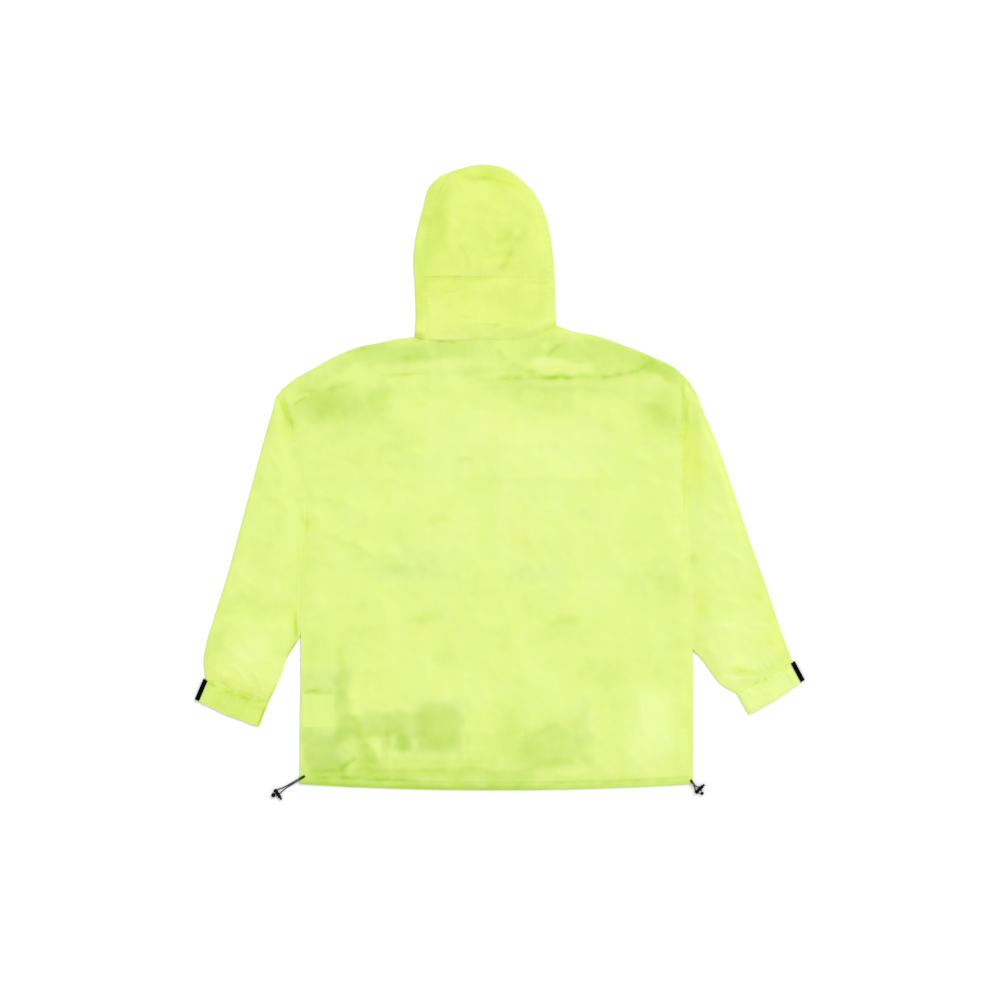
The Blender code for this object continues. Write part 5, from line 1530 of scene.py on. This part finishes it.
def cuff_grid(corners, columns, rows):
    """(grid, us, vs) of a flattened cuff: across it from the outer edge, then down it."""
    down = np.array(corners[2]) - np.array(corners[0])
    gap = down / np.linalg.norm(down) * LAP
    start = [np.array(corners[0]) - gap, np.array(corners[1]) - gap]
    us = eased(columns, 112.0)
    vs = eased(rows, 38.0)
    low = between(corners[2], corners[3], us)
    low = low + down / np.linalg.norm(down) * (CUFF_BOW * 4 * us * (1 - us))[:, None]
    grid = patch(
        between(start[0], start[1], us), low,
        between(start[0], corners[2], vs), between(start[1], corners[3], vs), us, vs,
    )
    return grid, us, vs


def make_cuff(cloth, side, corners):
    """A cuff gathered by the elastic inside it."""
    word = WORDS[side]
    grid, us, vs = cuff_grid(corners, *CUFF_STEPS)
    x, y, edges = spread(grid)
    u = us[None, :]
    v = vs[:, None]
    lift = (TAB_WALL + SEAM) * (1 - soft_step((u - 0.1) / 0.1)) + 0.0 * v
    drift = 1.1 * np.sin(9.0 * u + 2.6 * v + side) + 0.7 * np.sin(23.0 * u - 3.0 * v)
    wave = 0.5 - 0.5 * np.cos(2 * np.pi * CUFF_WAVES * u + drift)
    uneven = 0.6 + 0.4 * np.sin(5.1 * u * CUFF_WAVES + 2.0 * v + side)
    small = 0.2 * np.sin(2 * np.pi * 33 * u + 4.0 * v + 2.0 * drift) * np.cos(7.0 * v + 19.0 * u)
    rim = soft_step((u - 0.07) / 0.08) * soft_step((1 - u) / 0.06)
    share = CUFF_SHARE[word]
    swell = share * (CUFF_SWELL * wave * uneven * (1 - 0.45 * v) + small)
    crinkle = CUFF_CRINKLE * cloth.crinkle * (crinkle_at(x, y, 9.0 + side) - 0.4)
    swell = swell + crinkle * soft_step(edges.bottom / 8.0)
    under = 1 - soft_step(edges.bottom / (2.2 * LAP))
    top = lift + FLAT + rim * (0.6 * (1 - under) + swell * soft_step(edges.bottom / 4.0))
    top = top + lapped(edges.bottom, 0.4)
    below = lift + np.clip(0.35 * (wave + small) * rim, 0.0, 0.8) + 0.4 * under
    look = look_at(x, y)
    # Painted shade in the creases and along the rims, and painted light and shade on the crowns and
    # troughs of the gathers.
    look[..., 0] += crease_at(x, y)[1] + rim_turning_and_shade(edges.left, 0.2) + rim_turning_and_shade(edges.right, 0.15)
    look[..., 0] += share * (0.3 * (uneven * wave - 0.4) * rim * (1 - 0.4 * v) + 0.5 * small)
    look += gathered(x, y, edges.bottom)
    closing = (CUFF_TURN, 1.0)
    name, solid = f"{word}_cuff", f"cuff_{word}"
    tube(cloth, name, solid, grid, (below, top), closing, look, CUFF_WALL)


def make_tab(side, corners, look):
    """Webbing folded over the outer end of a cuff and sewn through."""
    word = WORDS[side]
    high = FLAT + 2 * TAB_WALL + 2 * SEAM
    reach = TAB_LOOP + TAB_WALL
    turn = np.radians(np.linspace(-90, 90, 15))
    bend_out = 0.55 * high / 2 * (1 - np.cos(turn)) - reach
    bend_up = high / 2 * (1 + np.sin(turn))
    flat = np.linspace(TAB_GRIP, bend_out[0] + 0.3, 12)
    offsets = np.concatenate([flat, bend_out, flat[::-1]])
    levels = np.concatenate([np.zeros(len(flat)), bend_up, np.full(len(flat), high)])
    start = np.array(corners[0])
    down = np.array(corners[2]) - start
    length = np.linalg.norm(down)
    over = np.array(corners[1]) - start
    over = over / np.linalg.norm(over)
    vs = np.linspace(0.0, 1.0, 90)[:, None]
    rib = RIB_DEPTH * np.abs(np.sin(np.pi * vs * length / RIB))
    spots = np.empty((len(vs), len(levels), 3))
    spots[..., :2] = start + over * offsets[None, :, None] + down * vs[..., None]
    spots[..., 2] = np.clip(levels, RIB_DEPTH, high - RIB_DEPTH) + np.where(levels > high / 2, rib, -rib)
    thing = mapped(f"{word}_cuff_tab", spots, np.zeros((*spots.shape[:2], 2)), look)
    walled(thing, 0.9 * TAB_WALL * MM)
    belong(thing, BODY, f"cuff_tab_{word}")


def brim_inner():
    """The casing's stitched line, BRIM inside the face opening."""
    rows = curve(FACE_EDGE, np.linspace(0, 1, 9))
    way = np.gradient(rows, axis=0)
    way = way / np.linalg.norm(way, axis=1)[:, None]
    line = rows + BRIM * np.column_stack([way[:, 1], -way[:, 0]])
    crown = curve(CROWN_EDGE, [BRIM_END])
    return np.concatenate([line[:-1], crown])


def hood_grids(fine):
    """The hood's brim, collar and crown as grids, with their steps as a share of the finest."""
    line = brim_inner()
    neck = body_top(np.linspace(0, 1, 600))

    def steps(counts, across, along):
        return eased(round(counts[0] * fine), across), eased(round(counts[1] * fine), along)

    def neck_at(x):
        return np.column_stack([x, np.interp(x, neck[:, 0], neck[:, 1]) - LAP])

    face_start = neck_at(np.array([FACE_EDGE[0].x + 0.2]))
    line_start = neck_at(line[:1, 0])
    us, vs = steps(BRIM_STEPS, BRIM, 290.0)
    outer_run = curve([Point(*face_start[0])] + FACE_EDGE[1:], vs)
    inner_run = curve(np.concatenate([line_start, line[1:]]), vs)
    bottom = neck_at(outer_run[0, 0] + (inner_run[0, 0] - outer_run[0, 0]) * us)
    top = between(outer_run[-1], inner_run[-1], us)
    brim = patch(bottom, top, outer_run, inner_run, us, vs)

    slant = np.hypot(1.0, np.gradient(inner_run[:, 0], inner_run[:, 1]))

    def face_line(ys):
        lap = LAP * np.interp(ys, inner_run[:, 1], slant)
        return np.column_stack([np.interp(ys, inner_run[:, 1], inner_run[:, 0]) - lap, ys])

    us, vs = steps(COLLAR_STEPS, 215.0, 105.0)
    low = HOOD_SEAM_Y + LAP / 2
    high = HOOD_SEAM_Y - LAP / 2
    nape_y = neck_at(np.array([NAPE_EDGE[0].x]))[0, 1]
    nape_low = heights(NAPE_EDGE, nape_y + (low - nape_y) * vs)
    face_low = face_line(line_start[0, 1] + (low - line_start[0, 1]) * vs)
    neck_run = neck_at(face_low[0, 0] + (nape_low[0, 0] - face_low[0, 0]) * us)
    collar = patch(neck_run, between(face_low[-1], nape_low[-1], us), face_low, nape_low, us, vs)

    us, vs = steps(CROWN_STEPS, 215.0, 180.0)
    tip = inner_run[-1]
    nape_high = heights(NAPE_EDGE, high + (NAPE_EDGE[-1].y - high) * vs)
    face_high = face_line(high + (tip[1] - 0.2 - high) * vs)
    crown_line = curve(CROWN_EDGE, BRIM_END + (1 - BRIM_END) * us)
    crown_line[0] = face_high[-1]
    crown = patch(between(face_high[0], nape_high[0], us), crown_line, face_high, nape_high, us, vs)
    return brim, collar, crown


def make_hood_panel(cloth, part, grid, share, closed_edges):
    """The upper cloth of a hood panel; closed_edges are where it turns under."""
    x, y, edges = spread(grid)
    rim = nearest(edges, closed_edges)
    inner = nearest(edges)
    rumple, doubling_and_crease_shading = upper_rumple(cloth, x, y, 3.0, 0.3)
    rumple = share * air(x, y) * soft_step(inner / 24.0) + rumple * soft_step(inner / RUMPLE_FADE)
    ripple = puckers(edges, x, y, HOOD_PUCKERS) + lapped(edges.left, 0.5)
    if part == "collar":
        eased_off = 1 - 0.75 * soft_step((x + 10.0) / 50.0)
        ripple = ripple + lapped(edges.bottom, eased_off) + lapped(edges.top, eased_off)
    z = EDGE_HIGH + (FLAT + rumple + ripple - EDGE_HIGH) * rounded(rim, TURN)
    look = look_at(x, y)
    # Painted shade in the creases and along the turned rim, with the shade of the turnings.
    look[..., 0] += doubling_and_crease_shading + rim_turning_and_shade(rim, 0.25)
    shell(cloth, f"hood_{part}_outer", f"hood_{part}_upper", grid, z, look)


def make_hood_under(cloth, part, grid, closed_edges):
    """The cloth under it, face down on the floor."""
    x, y, edges = spread(grid)
    close = rounded(nearest(edges, closed_edges), TURN)
    below = lower_rumple(cloth, x, y, 7.0, (x - 14, y + 11))
    below = below * soft_step(nearest(edges) / RUMPLE_FADE)
    z = EDGE_LOW + (below - EDGE_LOW) * close
    look = look_at(x, y, LOWER_LOOK)
    shell(cloth, f"hood_{part}_under", f"hood_{part}_lower", grid, z, look, upward=False)


def make_brim(cloth, grid, word, node_name, floor, upper):
    """The casing round the face opening, on one side of the hood."""
    x, y, edges = spread(grid)
    relief = 0.0
    if upper:
        belly = np.sin(np.pi * edges.left / BRIM)
        relief = 0.5 * belly + pucker(edges.right, y, 7.5, 0.3)
        relief = relief + 0.35 * belly * np.sin(y / 7.0 + 2.0 * np.sin(y / 23.0))
    base = np.full_like(x, floor)
    ends = 0.8 + 0.2 * rounded(nearest(edges, ENDS), TURN)
    look = look_at(x, y, 1.0 if upper else LOWER_LOOK)
    # Painted shade in the creases and along the face edge, with the shade of the turnings.
    look[..., 0] += crease_at(x, y)[1] + rim_turning_and_shade(edges.left, 0.25) - 0.05
    faces = (base, base + CLOTH + relief)
    tube(cloth, f"hood_brim_{word}", node_name, grid, faces, (BRIM_TURN, ends), look)


def make_label(trim):
    """A blank care label, sewn into the side seam between the front and the back."""
    xs = np.linspace(LABEL_X.low, LABEL_X.high, LABEL_STEPS)
    ys = np.linspace(LABEL_Y.low, LABEL_Y.high, LABEL_STEPS)
    x, y = np.meshgrid(xs, ys)
    grid = np.dstack([x, y])
    curl = 0.15 * np.sin(x / 9.0) * np.sin(y / 13.0)
    spots = np.dstack([grid, CLOTH + SEAM + 0.55 + curl])
    thing = mapped("blank_label", spots, np.zeros((*x.shape, 2)), trim_look("label_satin", trim.label))
    dress(thing, "care_label", 0.3 * MM)


# --- cords and locks ------------------------------------------------------------------


def lock_axes(gear):
    """(the barrel's axis, the way the cord runs through it, the barrel's middle)."""
    turn = math.radians(gear.turn)
    axis = Vector((math.cos(turn), math.sin(turn), 0))
    lock = Vector((gear.lock_x, gear.lock_y, LOCK_RADIUS))
    exit_at = Vector((gear.exit_x, gear.exit_y, HEM_TOP + STRAND_RADIUS + SEAM))
    heading = Vector((-axis.y, axis.x, 0))
    if heading.dot(lock - exit_at) < 0:
        heading = -heading
    return axis, heading, lock, exit_at


def bead_centre(gear):
    """The middle of the bead beyond the lock."""
    axis, heading, lock, _ = lock_axes(gear)
    bead = lock + heading * gear.end_far + axis * gear.end_along
    bead.z = max(gear.end_radius, LOCK_RADIUS)
    return bead


def strand_route(gear, side):
    """One strand's way from the eyelet, round the corner and through the lock to its end."""
    axis, heading, lock, exit_at = lock_axes(gear)
    axis = axis * side
    corner = BODY_LEFT[0].x if gear.lock_x < 0 else BODY_RIGHT[0].x
    past_corner = abs(corner) + 2 * STRAND_RADIUS - abs(gear.exit_x)
    way = lock - heading * (LOCK_RADIUS + 1.5) - exit_at
    over = exit_at + way * (past_corner / abs(way.x))
    over.z = exit_at.z
    entry = exit_at + way
    free = (entry - over).length
    dip = max(STRAND_RADIUS + 0.2, LOCK_RADIUS - 0.07 * free)
    beside = STRAND_RADIUS + SEAM / 2
    back = Vector((way.x, way.y, 0)).normalized() * LEAD_IN
    back.z = LEAD_DROP
    route = [spot + axis * beside for spot in (exit_at - back, exit_at, over)]
    for row in SAGS:
        spot = over.lerp(entry, row.share) + axis * beside * row.apart
        spot.z = dip + (over.z - dip) * row.level
        route.append(spot)
    grip = min(BEAD_GRIP * gear.end_radius, HOLE_AT - SEAM)
    stop = math.sqrt(gear.end_radius**2 - (grip - STRAND_RADIUS) ** 2) + SEAM
    route += [entry + axis * HOLE_AT, lock + axis * HOLE_AT]
    route.append(lock + axis * HOLE_AT + heading * (LOCK_RADIUS + 0.3))
    end = bead_centre(gear) + axis * grip - heading * stop
    end.z = LOCK_RADIUS
    route.append(end)
    return route


def strand_mesh(name, centre, look):
    """A braided tube round a centreline, closed at both ends."""
    turn = np.linspace(0, 2 * np.pi, STRAND_SIDES + 1)
    way = np.gradient(centre, axis=0)
    way = way / np.linalg.norm(way, axis=1)[:, None]
    side = np.cross(way, (0.0, 0.0, 1.0))
    side = side / np.linalg.norm(side, axis=1)[:, None]
    up = np.cross(side, way)
    at = run_of(centre)
    end = np.minimum(at, at[-1] - at)
    slant = 2 * np.pi * at[:, None] / BRAID_LAY
    over = np.sin(BRAID_YARNS * turn[None] + slant) * np.sin(BRAID_YARNS * turn[None] - slant)
    radius = (STRAND_RADIUS - BRAID_DEPTH + BRAID_DEPTH * over) * rounded(end, 0.5)[:, None]
    spots = (
        centre[:, None]
        + side[:, None] * (radius * np.cos(turn))[..., None]
        + up[:, None] * (radius * np.sin(turn))[..., None]
    )
    return mapped(name, spots, np.zeros((*radius.shape, 2)), look, closed=True)


def make_cords(trim):
    """Both strands at each end of the hem."""
    look = trim_look("braided_cord", trim.cord)
    for gear in HARDWARE:
        for mark, side in (("a", -1), ("b", 1)):
            knots = np.array([tuple(spot) for spot in strand_route(gear, side)])
            count = round(steps_of(knots).sum() / STRAND_STEP)
            centre = curve(knots, np.linspace(0, 1, count))
            thing = strand_mesh(f"cord_{gear.name}_{mark}", centre, look)
            belong(thing, BODY, f"hem_cord_{gear.name}_{mark}")


def turned(name, profile, steps, place, look, sharp=True):
    """A piece turned round +X from its profile, then set in its place."""
    bm = bmesh.new()
    verts = [bm.verts.new((row.x, 0.0, row.radius)) for row in profile]
    for a, b in zip(verts, verts[1:]):
        bm.edges.new((a, b))
    bmesh.ops.spin(
        bm, geom=bm.verts[:] + bm.edges[:], cent=(0, 0, 0), axis=(1, 0, 0),
        angle=2 * math.pi, steps=steps, use_merge=True,
    )
    bmesh.ops.remove_doubles(bm, verts=bm.verts, dist=1e-4)
    bmesh.ops.recalc_face_normals(bm, faces=bm.faces)
    bmesh.ops.transform(bm, matrix=place, verts=bm.verts)
    thing = mesh_of(name, bm, look)
    if sharp:
        thing.data.set_sharp_from_angle(angle=SHARP)
    return thing


def softened(rows, radius, steps=4):
    """A profile whose corners are rounded off."""
    rows = [Vector(row) for row in rows]
    made = [Turned(*rows[0])]
    for before, corner, after in zip(rows, rows[1:], rows[2:]):
        back = before - corner
        ahead = after - corner
        pull = min(radius, 0.45 * back.length, 0.45 * ahead.length)
        start = corner + back.normalized() * pull
        end = corner + ahead.normalized() * pull
        for k in range(steps + 1):
            t = k / steps
            made.append(Turned(*(start.lerp(corner, t).lerp(corner.lerp(end, t), t))))
    made.append(Turned(*rows[-1]))
    return made


def lock_place(gear):
    """Where a lock lies: its barrel along +X, turned on the floor."""
    place = Matrix.Translation(Vector((gear.lock_x, gear.lock_y, LOCK_RADIUS)))
    return place @ Matrix.Rotation(math.radians(gear.turn), 4, "Z")


def carve(thing, cutters):
    """Cuts each cutter's shape from a piece for good, and removes the cutters."""
    for number, cutter in enumerate(cutters):
        change = thing.modifiers.new(f"cut_{number}", "BOOLEAN")
        change.operation = "DIFFERENCE"
        change.object = cutter
    graph = bpy.context.evaluated_depsgraph_get()
    carved = bpy.data.meshes.new_from_object(thing.evaluated_get(graph))
    thing.modifiers.clear()
    thing.data = carved
    thing.data.set_sharp_from_angle(angle=SHARP)
    for cutter in cutters:
        bpy.data.objects.remove(cutter, do_unlink=True)


def make_barrel(gear, look):
    """The lock's barrel, with its grip rings, its bore and a hole for each strand."""
    place = lock_place(gear)
    rim = LOCK_RADIUS
    ring = rim - 0.3
    bore = PLUNGER_RADIUS + SEAM
    rows = [
        (LOCK_START, 0.0), (LOCK_START, rim - 0.5), (LOCK_START + 0.7, rim), (-1.2, rim),
        (-0.9, rim - 0.18), (0.9, rim - 0.18), (1.2, rim), (6.6, rim), (6.8, ring), (7.4, ring),
        (7.6, rim), (8.2, rim), (8.4, ring), (9.0, ring), (9.2, rim), (LOCK_END, rim - 0.15),
        (LOCK_END, bore), (BORE_FLOOR, bore), (BORE_FLOOR, 0.0),
    ]
    barrel = turned(f"{gear.name}_lock_barrel", softened(rows, 0.35), 56, place, look, sharp=False)
    cutters = []
    for at in (-HOLE_AT, HOLE_AT):
        bm = bmesh.new()
        through = place @ Matrix.Translation((at, 0, 0)) @ Matrix.Rotation(math.radians(90), 4, "X")
        bmesh.ops.create_cone(
            bm, cap_ends=True, segments=32, radius1=HOLE_RADIUS, radius2=HOLE_RADIUS,
            depth=4 * LOCK_RADIUS, matrix=through,
        )
        cutters.append(mesh_of("hole", bm, look))
    carve(barrel, cutters)
    belong(barrel, BODY, f"cord_lock_{gear.name}")


def make_plunger(gear, look):
    """The sprung plunger, which rides on its own body."""
    end = HEAD_START + HEAD_LENGTH
    rows = [
        (PLUNGER_START, 0.0), (PLUNGER_START, PLUNGER_RADIUS), (HEAD_START, PLUNGER_RADIUS),
        (HEAD_START, HEAD_RADIUS), (end, HEAD_RADIUS), (end, 1.1), (end - 0.25, 0.8), (end - 0.25, 0.0),
    ]
    plunger = turned(f"{gear.name}_lock_plunger", softened(rows, 0.3), 48, lock_place(gear), look)
    belong(plunger, f"plunger_{gear.name}", f"lock_plunger_{gear.name}")


def make_bead(gear, look):
    """The bead that the cord ends in, with a fine groove round its middle."""
    size = gear.end_radius
    rows = []
    for step in range(0, 181, 6):
        x = -size * math.cos(math.radians(step))
        dent = 0.12 * math.exp(-((x / 0.35) ** 2))
        rows.append(Turned(x, max(size * math.sin(math.radians(step)) - dent, 0.0)))
    _, heading, _, _ = lock_axes(gear)
    along = Matrix.Rotation(math.atan2(heading.y, heading.x), 4, "Z")
    place = Matrix.Translation(bead_centre(gear)) @ along
    bead = turned(f"{gear.name}_cord_bead", rows, 48, place, look, sharp=False)
    belong(bead, BODY, f"cord_end_{gear.name}")


# --- sewing ---------------------------------------------------------------------------


def seam_path(panel, side, inset):
    """The line on a panel's outer face that runs this far in from one of its edges."""
    spots = surfaces[panel]
    runs = {
        "left": spots,
        "right": spots[:, ::-1],
        "bottom": spots.transpose(1, 0, 2),
        "top": spots.transpose(1, 0, 2)[:, ::-1],
    }[side]
    path = []
    for run in runs:
        path.append([np.interp(inset, run_of(run[:, :2]), run[:, k]) for k in range(3)])
    return np.array(path)


def stitch(bm, middle, way, size):
    """One stitch: a small grain turned along its way, with these half sizes."""
    turn = way.to_track_quat("X", "Z").to_matrix().to_4x4()
    place = Matrix.Translation(middle) @ turn @ Matrix.Diagonal((*size, 1.0))
    bmesh.ops.create_uvsphere(bm, u_segments=6, v_segments=4, radius=1.0, matrix=place)


def sew(bm, path, pitch, thread, below):
    """Stitches end to end along a path, each pressed into the cloth."""
    at = run_of(path)
    for k in range(int(at[-1] / pitch)):
        start, end = (
            Vector([np.interp(pitch * (k + share), at, path[:, axis]) for axis in range(3)])
            for share in STITCH_ENDS
        )
        middle = (start + end) / 2
        middle.z += (-0.25 if below else 0.25) * thread
        way = end - start
        stitch(bm, middle, way, (way.length / 2, thread / 2, thread / 2))


SeamRow = namedtuple("SeamRow", "panel side inset below")
SEAM_ROWS = [
    SeamRow("hem_tunnel_back", "right", 1.6, False),
    SeamRow("hem_tunnel_front", "right", 1.6, True),
    SeamRow("hood_brim_upper", "right", 1.6, False),
    SeamRow("hood_brim_lower", "right", 1.6, True),
    SeamRow("hood_collar_upper", "top", 3.0, False),
    SeamRow("hood_collar_lower", "top", 3.0, True),
    SeamRow("hood_collar_upper", "bottom", 3.0, False),
    SeamRow("hood_collar_lower", "bottom", 3.0, True),
    SeamRow("cuff_left", "bottom", 2.5, False),
    SeamRow("cuff_right", "bottom", 2.5, False),
    SeamRow("cuff_left", "top", 3.0, False),
    SeamRow("cuff_right", "top", 3.0, False),
]


def make_seams(cloth, trim):
    """Topstitching along the casings and joins, one piece for each panel's row."""
    look = trim_look("sewing_thread", cloth.shade, cloth.base)
    for number, row in enumerate(SEAM_ROWS):
        path = seam_path(row.panel, row.side, row.inset)
        if row.below:
            path[:, 2] = STITCH_BELOW
        bm = bmesh.new()
        sew(bm, path, trim.stitch / MM, trim.thread / MM, row.below)
        belong(mesh_of(f"stitching_{number:02d}", bm, look), BODY, None)


def make_eyelet(gear, look):
    """The sewn eyelet in the hem tunnel that the cord comes out of."""
    _, _, _, exit_at = lock_axes(gear)
    middle = Vector((exit_at.x, exit_at.y, HEM_TOP + 0.35))
    bm = bmesh.new()
    for k in range(EYELET_STITCHES):
        turn = 2 * math.pi * k / EYELET_STITCHES
        out = Vector((math.cos(turn), math.sin(turn), 0.0))
        stitch(bm, middle + out * EYELET, out, (0.8, 0.24, 0.3))
    belong(mesh_of(f"eyelet_{gear.name}", bm, look), BODY, None)


# --- stage ----------------------------------------------------------------------------

FLOOR_REACH = 8000.0  # from its middle to its edge
FLOOR_DROP = 0.3
KEY_FROM = (0.55, 0.75, 0.95)
SENSOR = 36.0
VIEW_X = 0.4
VIEW_Y = -39.5
VIEW_LEVEL = 5.0  # height at which the picture has its stated width


def make_stage(stage):
    """Pale floor, a soft dome of light with a gentle key, and a camera straight above."""
    scene = bpy.context.scene
    scene.view_settings.view_transform = "Standard"
    bm = bmesh.new()
    bmesh.ops.create_grid(bm, x_segments=4, y_segments=4, size=FLOOR_REACH)
    bmesh.ops.translate(bm, vec=(0, 0, -FLOOR_DROP), verts=bm.verts)
    material, tree, shader = new_material("studio_floor", {"Specular IOR Level": 0.0})
    shift = use(tree, "Handling wear", {"Coordinates": object_spot(tree), "Scale": 6.0})["Shift"]
    tree.links.new(calc(tree, "MULTIPLY_ADD", shift, 0.05, 0.9), shader.inputs["Roughness"])
    shader.inputs["Base Color"].default_value = colour4(stage.floor)
    mesh_of("floor", bm, material)

    world = bpy.data.worlds.new("studio")
    world.use_nodes = True
    background = world.node_tree.nodes["Background"]
    background.inputs["Color"].default_value = (1.0, 1.0, 1.0, 1.0)
    background.inputs["Strength"].default_value = stage.dome
    scene.world = world

    light = bpy.data.lights.new("key", "SUN")
    light.energy = stage.key
    light.angle = stage.key_spread
    key = link("key", light)
    key.rotation_euler = Vector(KEY_FROM).to_track_quat("Z", "Y").to_euler()

    data = bpy.data.cameras.new("camera")
    data.lens = stage.lens
    data.sensor_width = SENSOR
    data.clip_end = 50.0
    camera = link("camera", data)
    distance = stage.view_width * stage.lens / SENSOR
    camera.location = (VIEW_X * MM, VIEW_Y * MM, distance + VIEW_LEVEL * MM)
    scene.camera = camera


# --- operators ------------------------------------------------------------------------


class ANORAK_OT_stage(Operator):
    """Set up the floor, the light and the camera"""

    bl_idname = "anorak.stage"
    bl_label = "Stage"

    def execute(self, context):
        make_stage(context.scene.anorak_stage)
        return {"FINISHED"}


class ANORAK_OT_cords(Operator):
    """Model the two strands of hem cord at each corner"""

    bl_idname = "anorak.cords"
    bl_label = "Hem cords"

    def execute(self, context):
        make_cords(context.scene.anorak_trim)
        return {"FINISHED"}


class ANORAK_OT_locks(Operator):
    """Model the cord locks, their plungers and the end beads"""

    bl_idname = "anorak.locks"
    bl_label = "Cord locks"

    def execute(self, context):
        colour = context.scene.anorak_trim.plastic
        plastic = trim_look("moulded_plastic", colour)
        # The plunger is coloured paler, as a painted highlight on the lock's end.
        plunger_highlight_look = trim_look("plunger_plastic", [PLUNGER_HIGHLIGHT * channel for channel in colour])
        for gear in HARDWARE:
            make_barrel(gear, plastic)
            make_plunger(gear, plunger_highlight_look)
            make_bead(gear, plastic)
        return {"FINISHED"}


class ANORAK_OT_body(Operator):
    """Model the back and the front"""

    bl_idname = "anorak.body"
    bl_label = "Body"

    def execute(self, context):
        make_back(context.scene.anorak_cloth)
        make_front(context.scene.anorak_cloth)
        return {"FINISHED"}


class ANORAK_OT_hem(Operator):
    """Model the two hem tunnels"""

    bl_idname = "anorak.hem"
    bl_label = "Hem tunnels"

    def execute(self, context):
        cloth = context.scene.anorak_cloth
        make_hem(cloth, "hem_back", "hem_tunnel_back", HEM_WALL + SEAM, True)
        make_hem(cloth, "hem_front", "hem_tunnel_front", 0.0, False)
        return {"FINISHED"}


class ANORAK_OT_sleeves(Operator):
    """Model both sleeves"""

    bl_idname = "anorak.sleeves"
    bl_label = "Sleeves"

    def execute(self, context):
        cloth = context.scene.anorak_cloth
        make_sleeve(cloth, -1, SLEEVE_LEFT_OUTER, SLEEVE_LEFT_INNER)
        make_sleeve(cloth, 1, SLEEVE_RIGHT_OUTER, SLEEVE_RIGHT_INNER)
        return {"FINISHED"}


class ANORAK_OT_cuffs(Operator):
    """Model the gathered cuffs and their webbing tabs"""

    bl_idname = "anorak.cuffs"
    bl_label = "Cuffs and tabs"

    def execute(self, context):
        cloth = context.scene.anorak_cloth
        look = trim_look("webbing", context.scene.anorak_trim.webbing)
        for side, corners in ((-1, CUFF_LEFT), (1, CUFF_RIGHT)):
            make_cuff(cloth, side, corners)
            make_tab(side, corners, look)
        return {"FINISHED"}


class ANORAK_OT_hood(Operator):
    """Model the hood's crown, collar and brim, on both of its sides"""

    bl_idname = "anorak.hood"
    bl_label = "Hood"

    def execute(self, context):
        cloth = context.scene.anorak_cloth
        brim, collar, crown = hood_grids(1.0)
        make_hood_panel(cloth, "crown", crown, 1.0, ("right", "top"))
        make_hood_panel(cloth, "collar", collar, 0.8, ("right",))
        make_brim(cloth, brim, "outer", "hood_brim_upper", CLOTH + SEAM, True)
        brim, collar, crown = hood_grids(0.6)
        make_hood_under(cloth, "crown", crown, ("right", "top"))
        make_hood_under(cloth, "collar", collar, ("right",))
        make_brim(cloth, brim, "under", "hood_brim_lower", 0.0, False)
        return {"FINISHED"}


class ANORAK_OT_label(Operator):
    """Model the blank care label"""

    bl_idname = "anorak.label"
    bl_label = "Care label"

    def execute(self, context):
        make_label(context.scene.anorak_trim)
        return {"FINISHED"}


class ANORAK_OT_seams(Operator):
    """Sew the visible seams and the eyelets"""

    bl_idname = "anorak.seams"
    bl_label = "Seams and eyelets"

    def execute(self, context):
        cloth = context.scene.anorak_cloth
        make_seams(cloth, context.scene.anorak_trim)
        look = bpy.data.materials["sewing_thread"]
        for gear in HARDWARE:
            make_eyelet(gear, look)
        return {"FINISHED"}


OPERATORS = (
    ANORAK_OT_stage,
    ANORAK_OT_cords,
    ANORAK_OT_locks,
    ANORAK_OT_body,
    ANORAK_OT_hem,
    ANORAK_OT_sleeves,
    ANORAK_OT_cuffs,
    ANORAK_OT_hood,
    ANORAK_OT_label,
    ANORAK_OT_seams,
)


class ANORAK_PT_pieces(Panel):
    """Lists the anorak's pieces"""

    bl_idname = "ANORAK_PT_pieces"
    bl_label = "Anorak"
    bl_space_type = "VIEW_3D"
    bl_region_type = "UI"
    bl_category = "Anorak"

    def draw(self, context):
        for operator in OPERATORS:
            self.layout.operator(operator.bl_idname)
        for settings in ("anorak_cloth", "anorak_trim", "anorak_stage"):
            group = getattr(context.scene, settings)
            box = self.layout.box()
            for name in group.__annotations__:
                box.prop(group, name)


SETTINGS = {
    "anorak_cloth": ClothSettings,
    "anorak_trim": TrimSettings,
    "anorak_stage": StageSettings,
}
CLASSES = (*SETTINGS.values(), *OPERATORS, ANORAK_PT_pieces)


def register():
    for made in CLASSES:
        bpy.utils.register_class(made)
    for name, group in SETTINGS.items():
        setattr(bpy.types.Scene, name, PointerProperty(type=group))


def unregister():
    for name in SETTINGS:
        delattr(bpy.types.Scene, name)
    for made in reversed(CLASSES):
        bpy.utils.unregister_class(made)


def main():
    register()
    bpy.ops.anorak.stage()
    bpy.ops.anorak.cords()
    bpy.ops.anorak.locks()
    bpy.ops.anorak.body()
    bpy.ops.anorak.hem()
    bpy.ops.anorak.sleeves()
    bpy.ops.anorak.cuffs()
    bpy.ops.anorak.hood()
    bpy.ops.anorak.label()
    bpy.ops.anorak.seams()


if __name__ == "__main__":
    main()
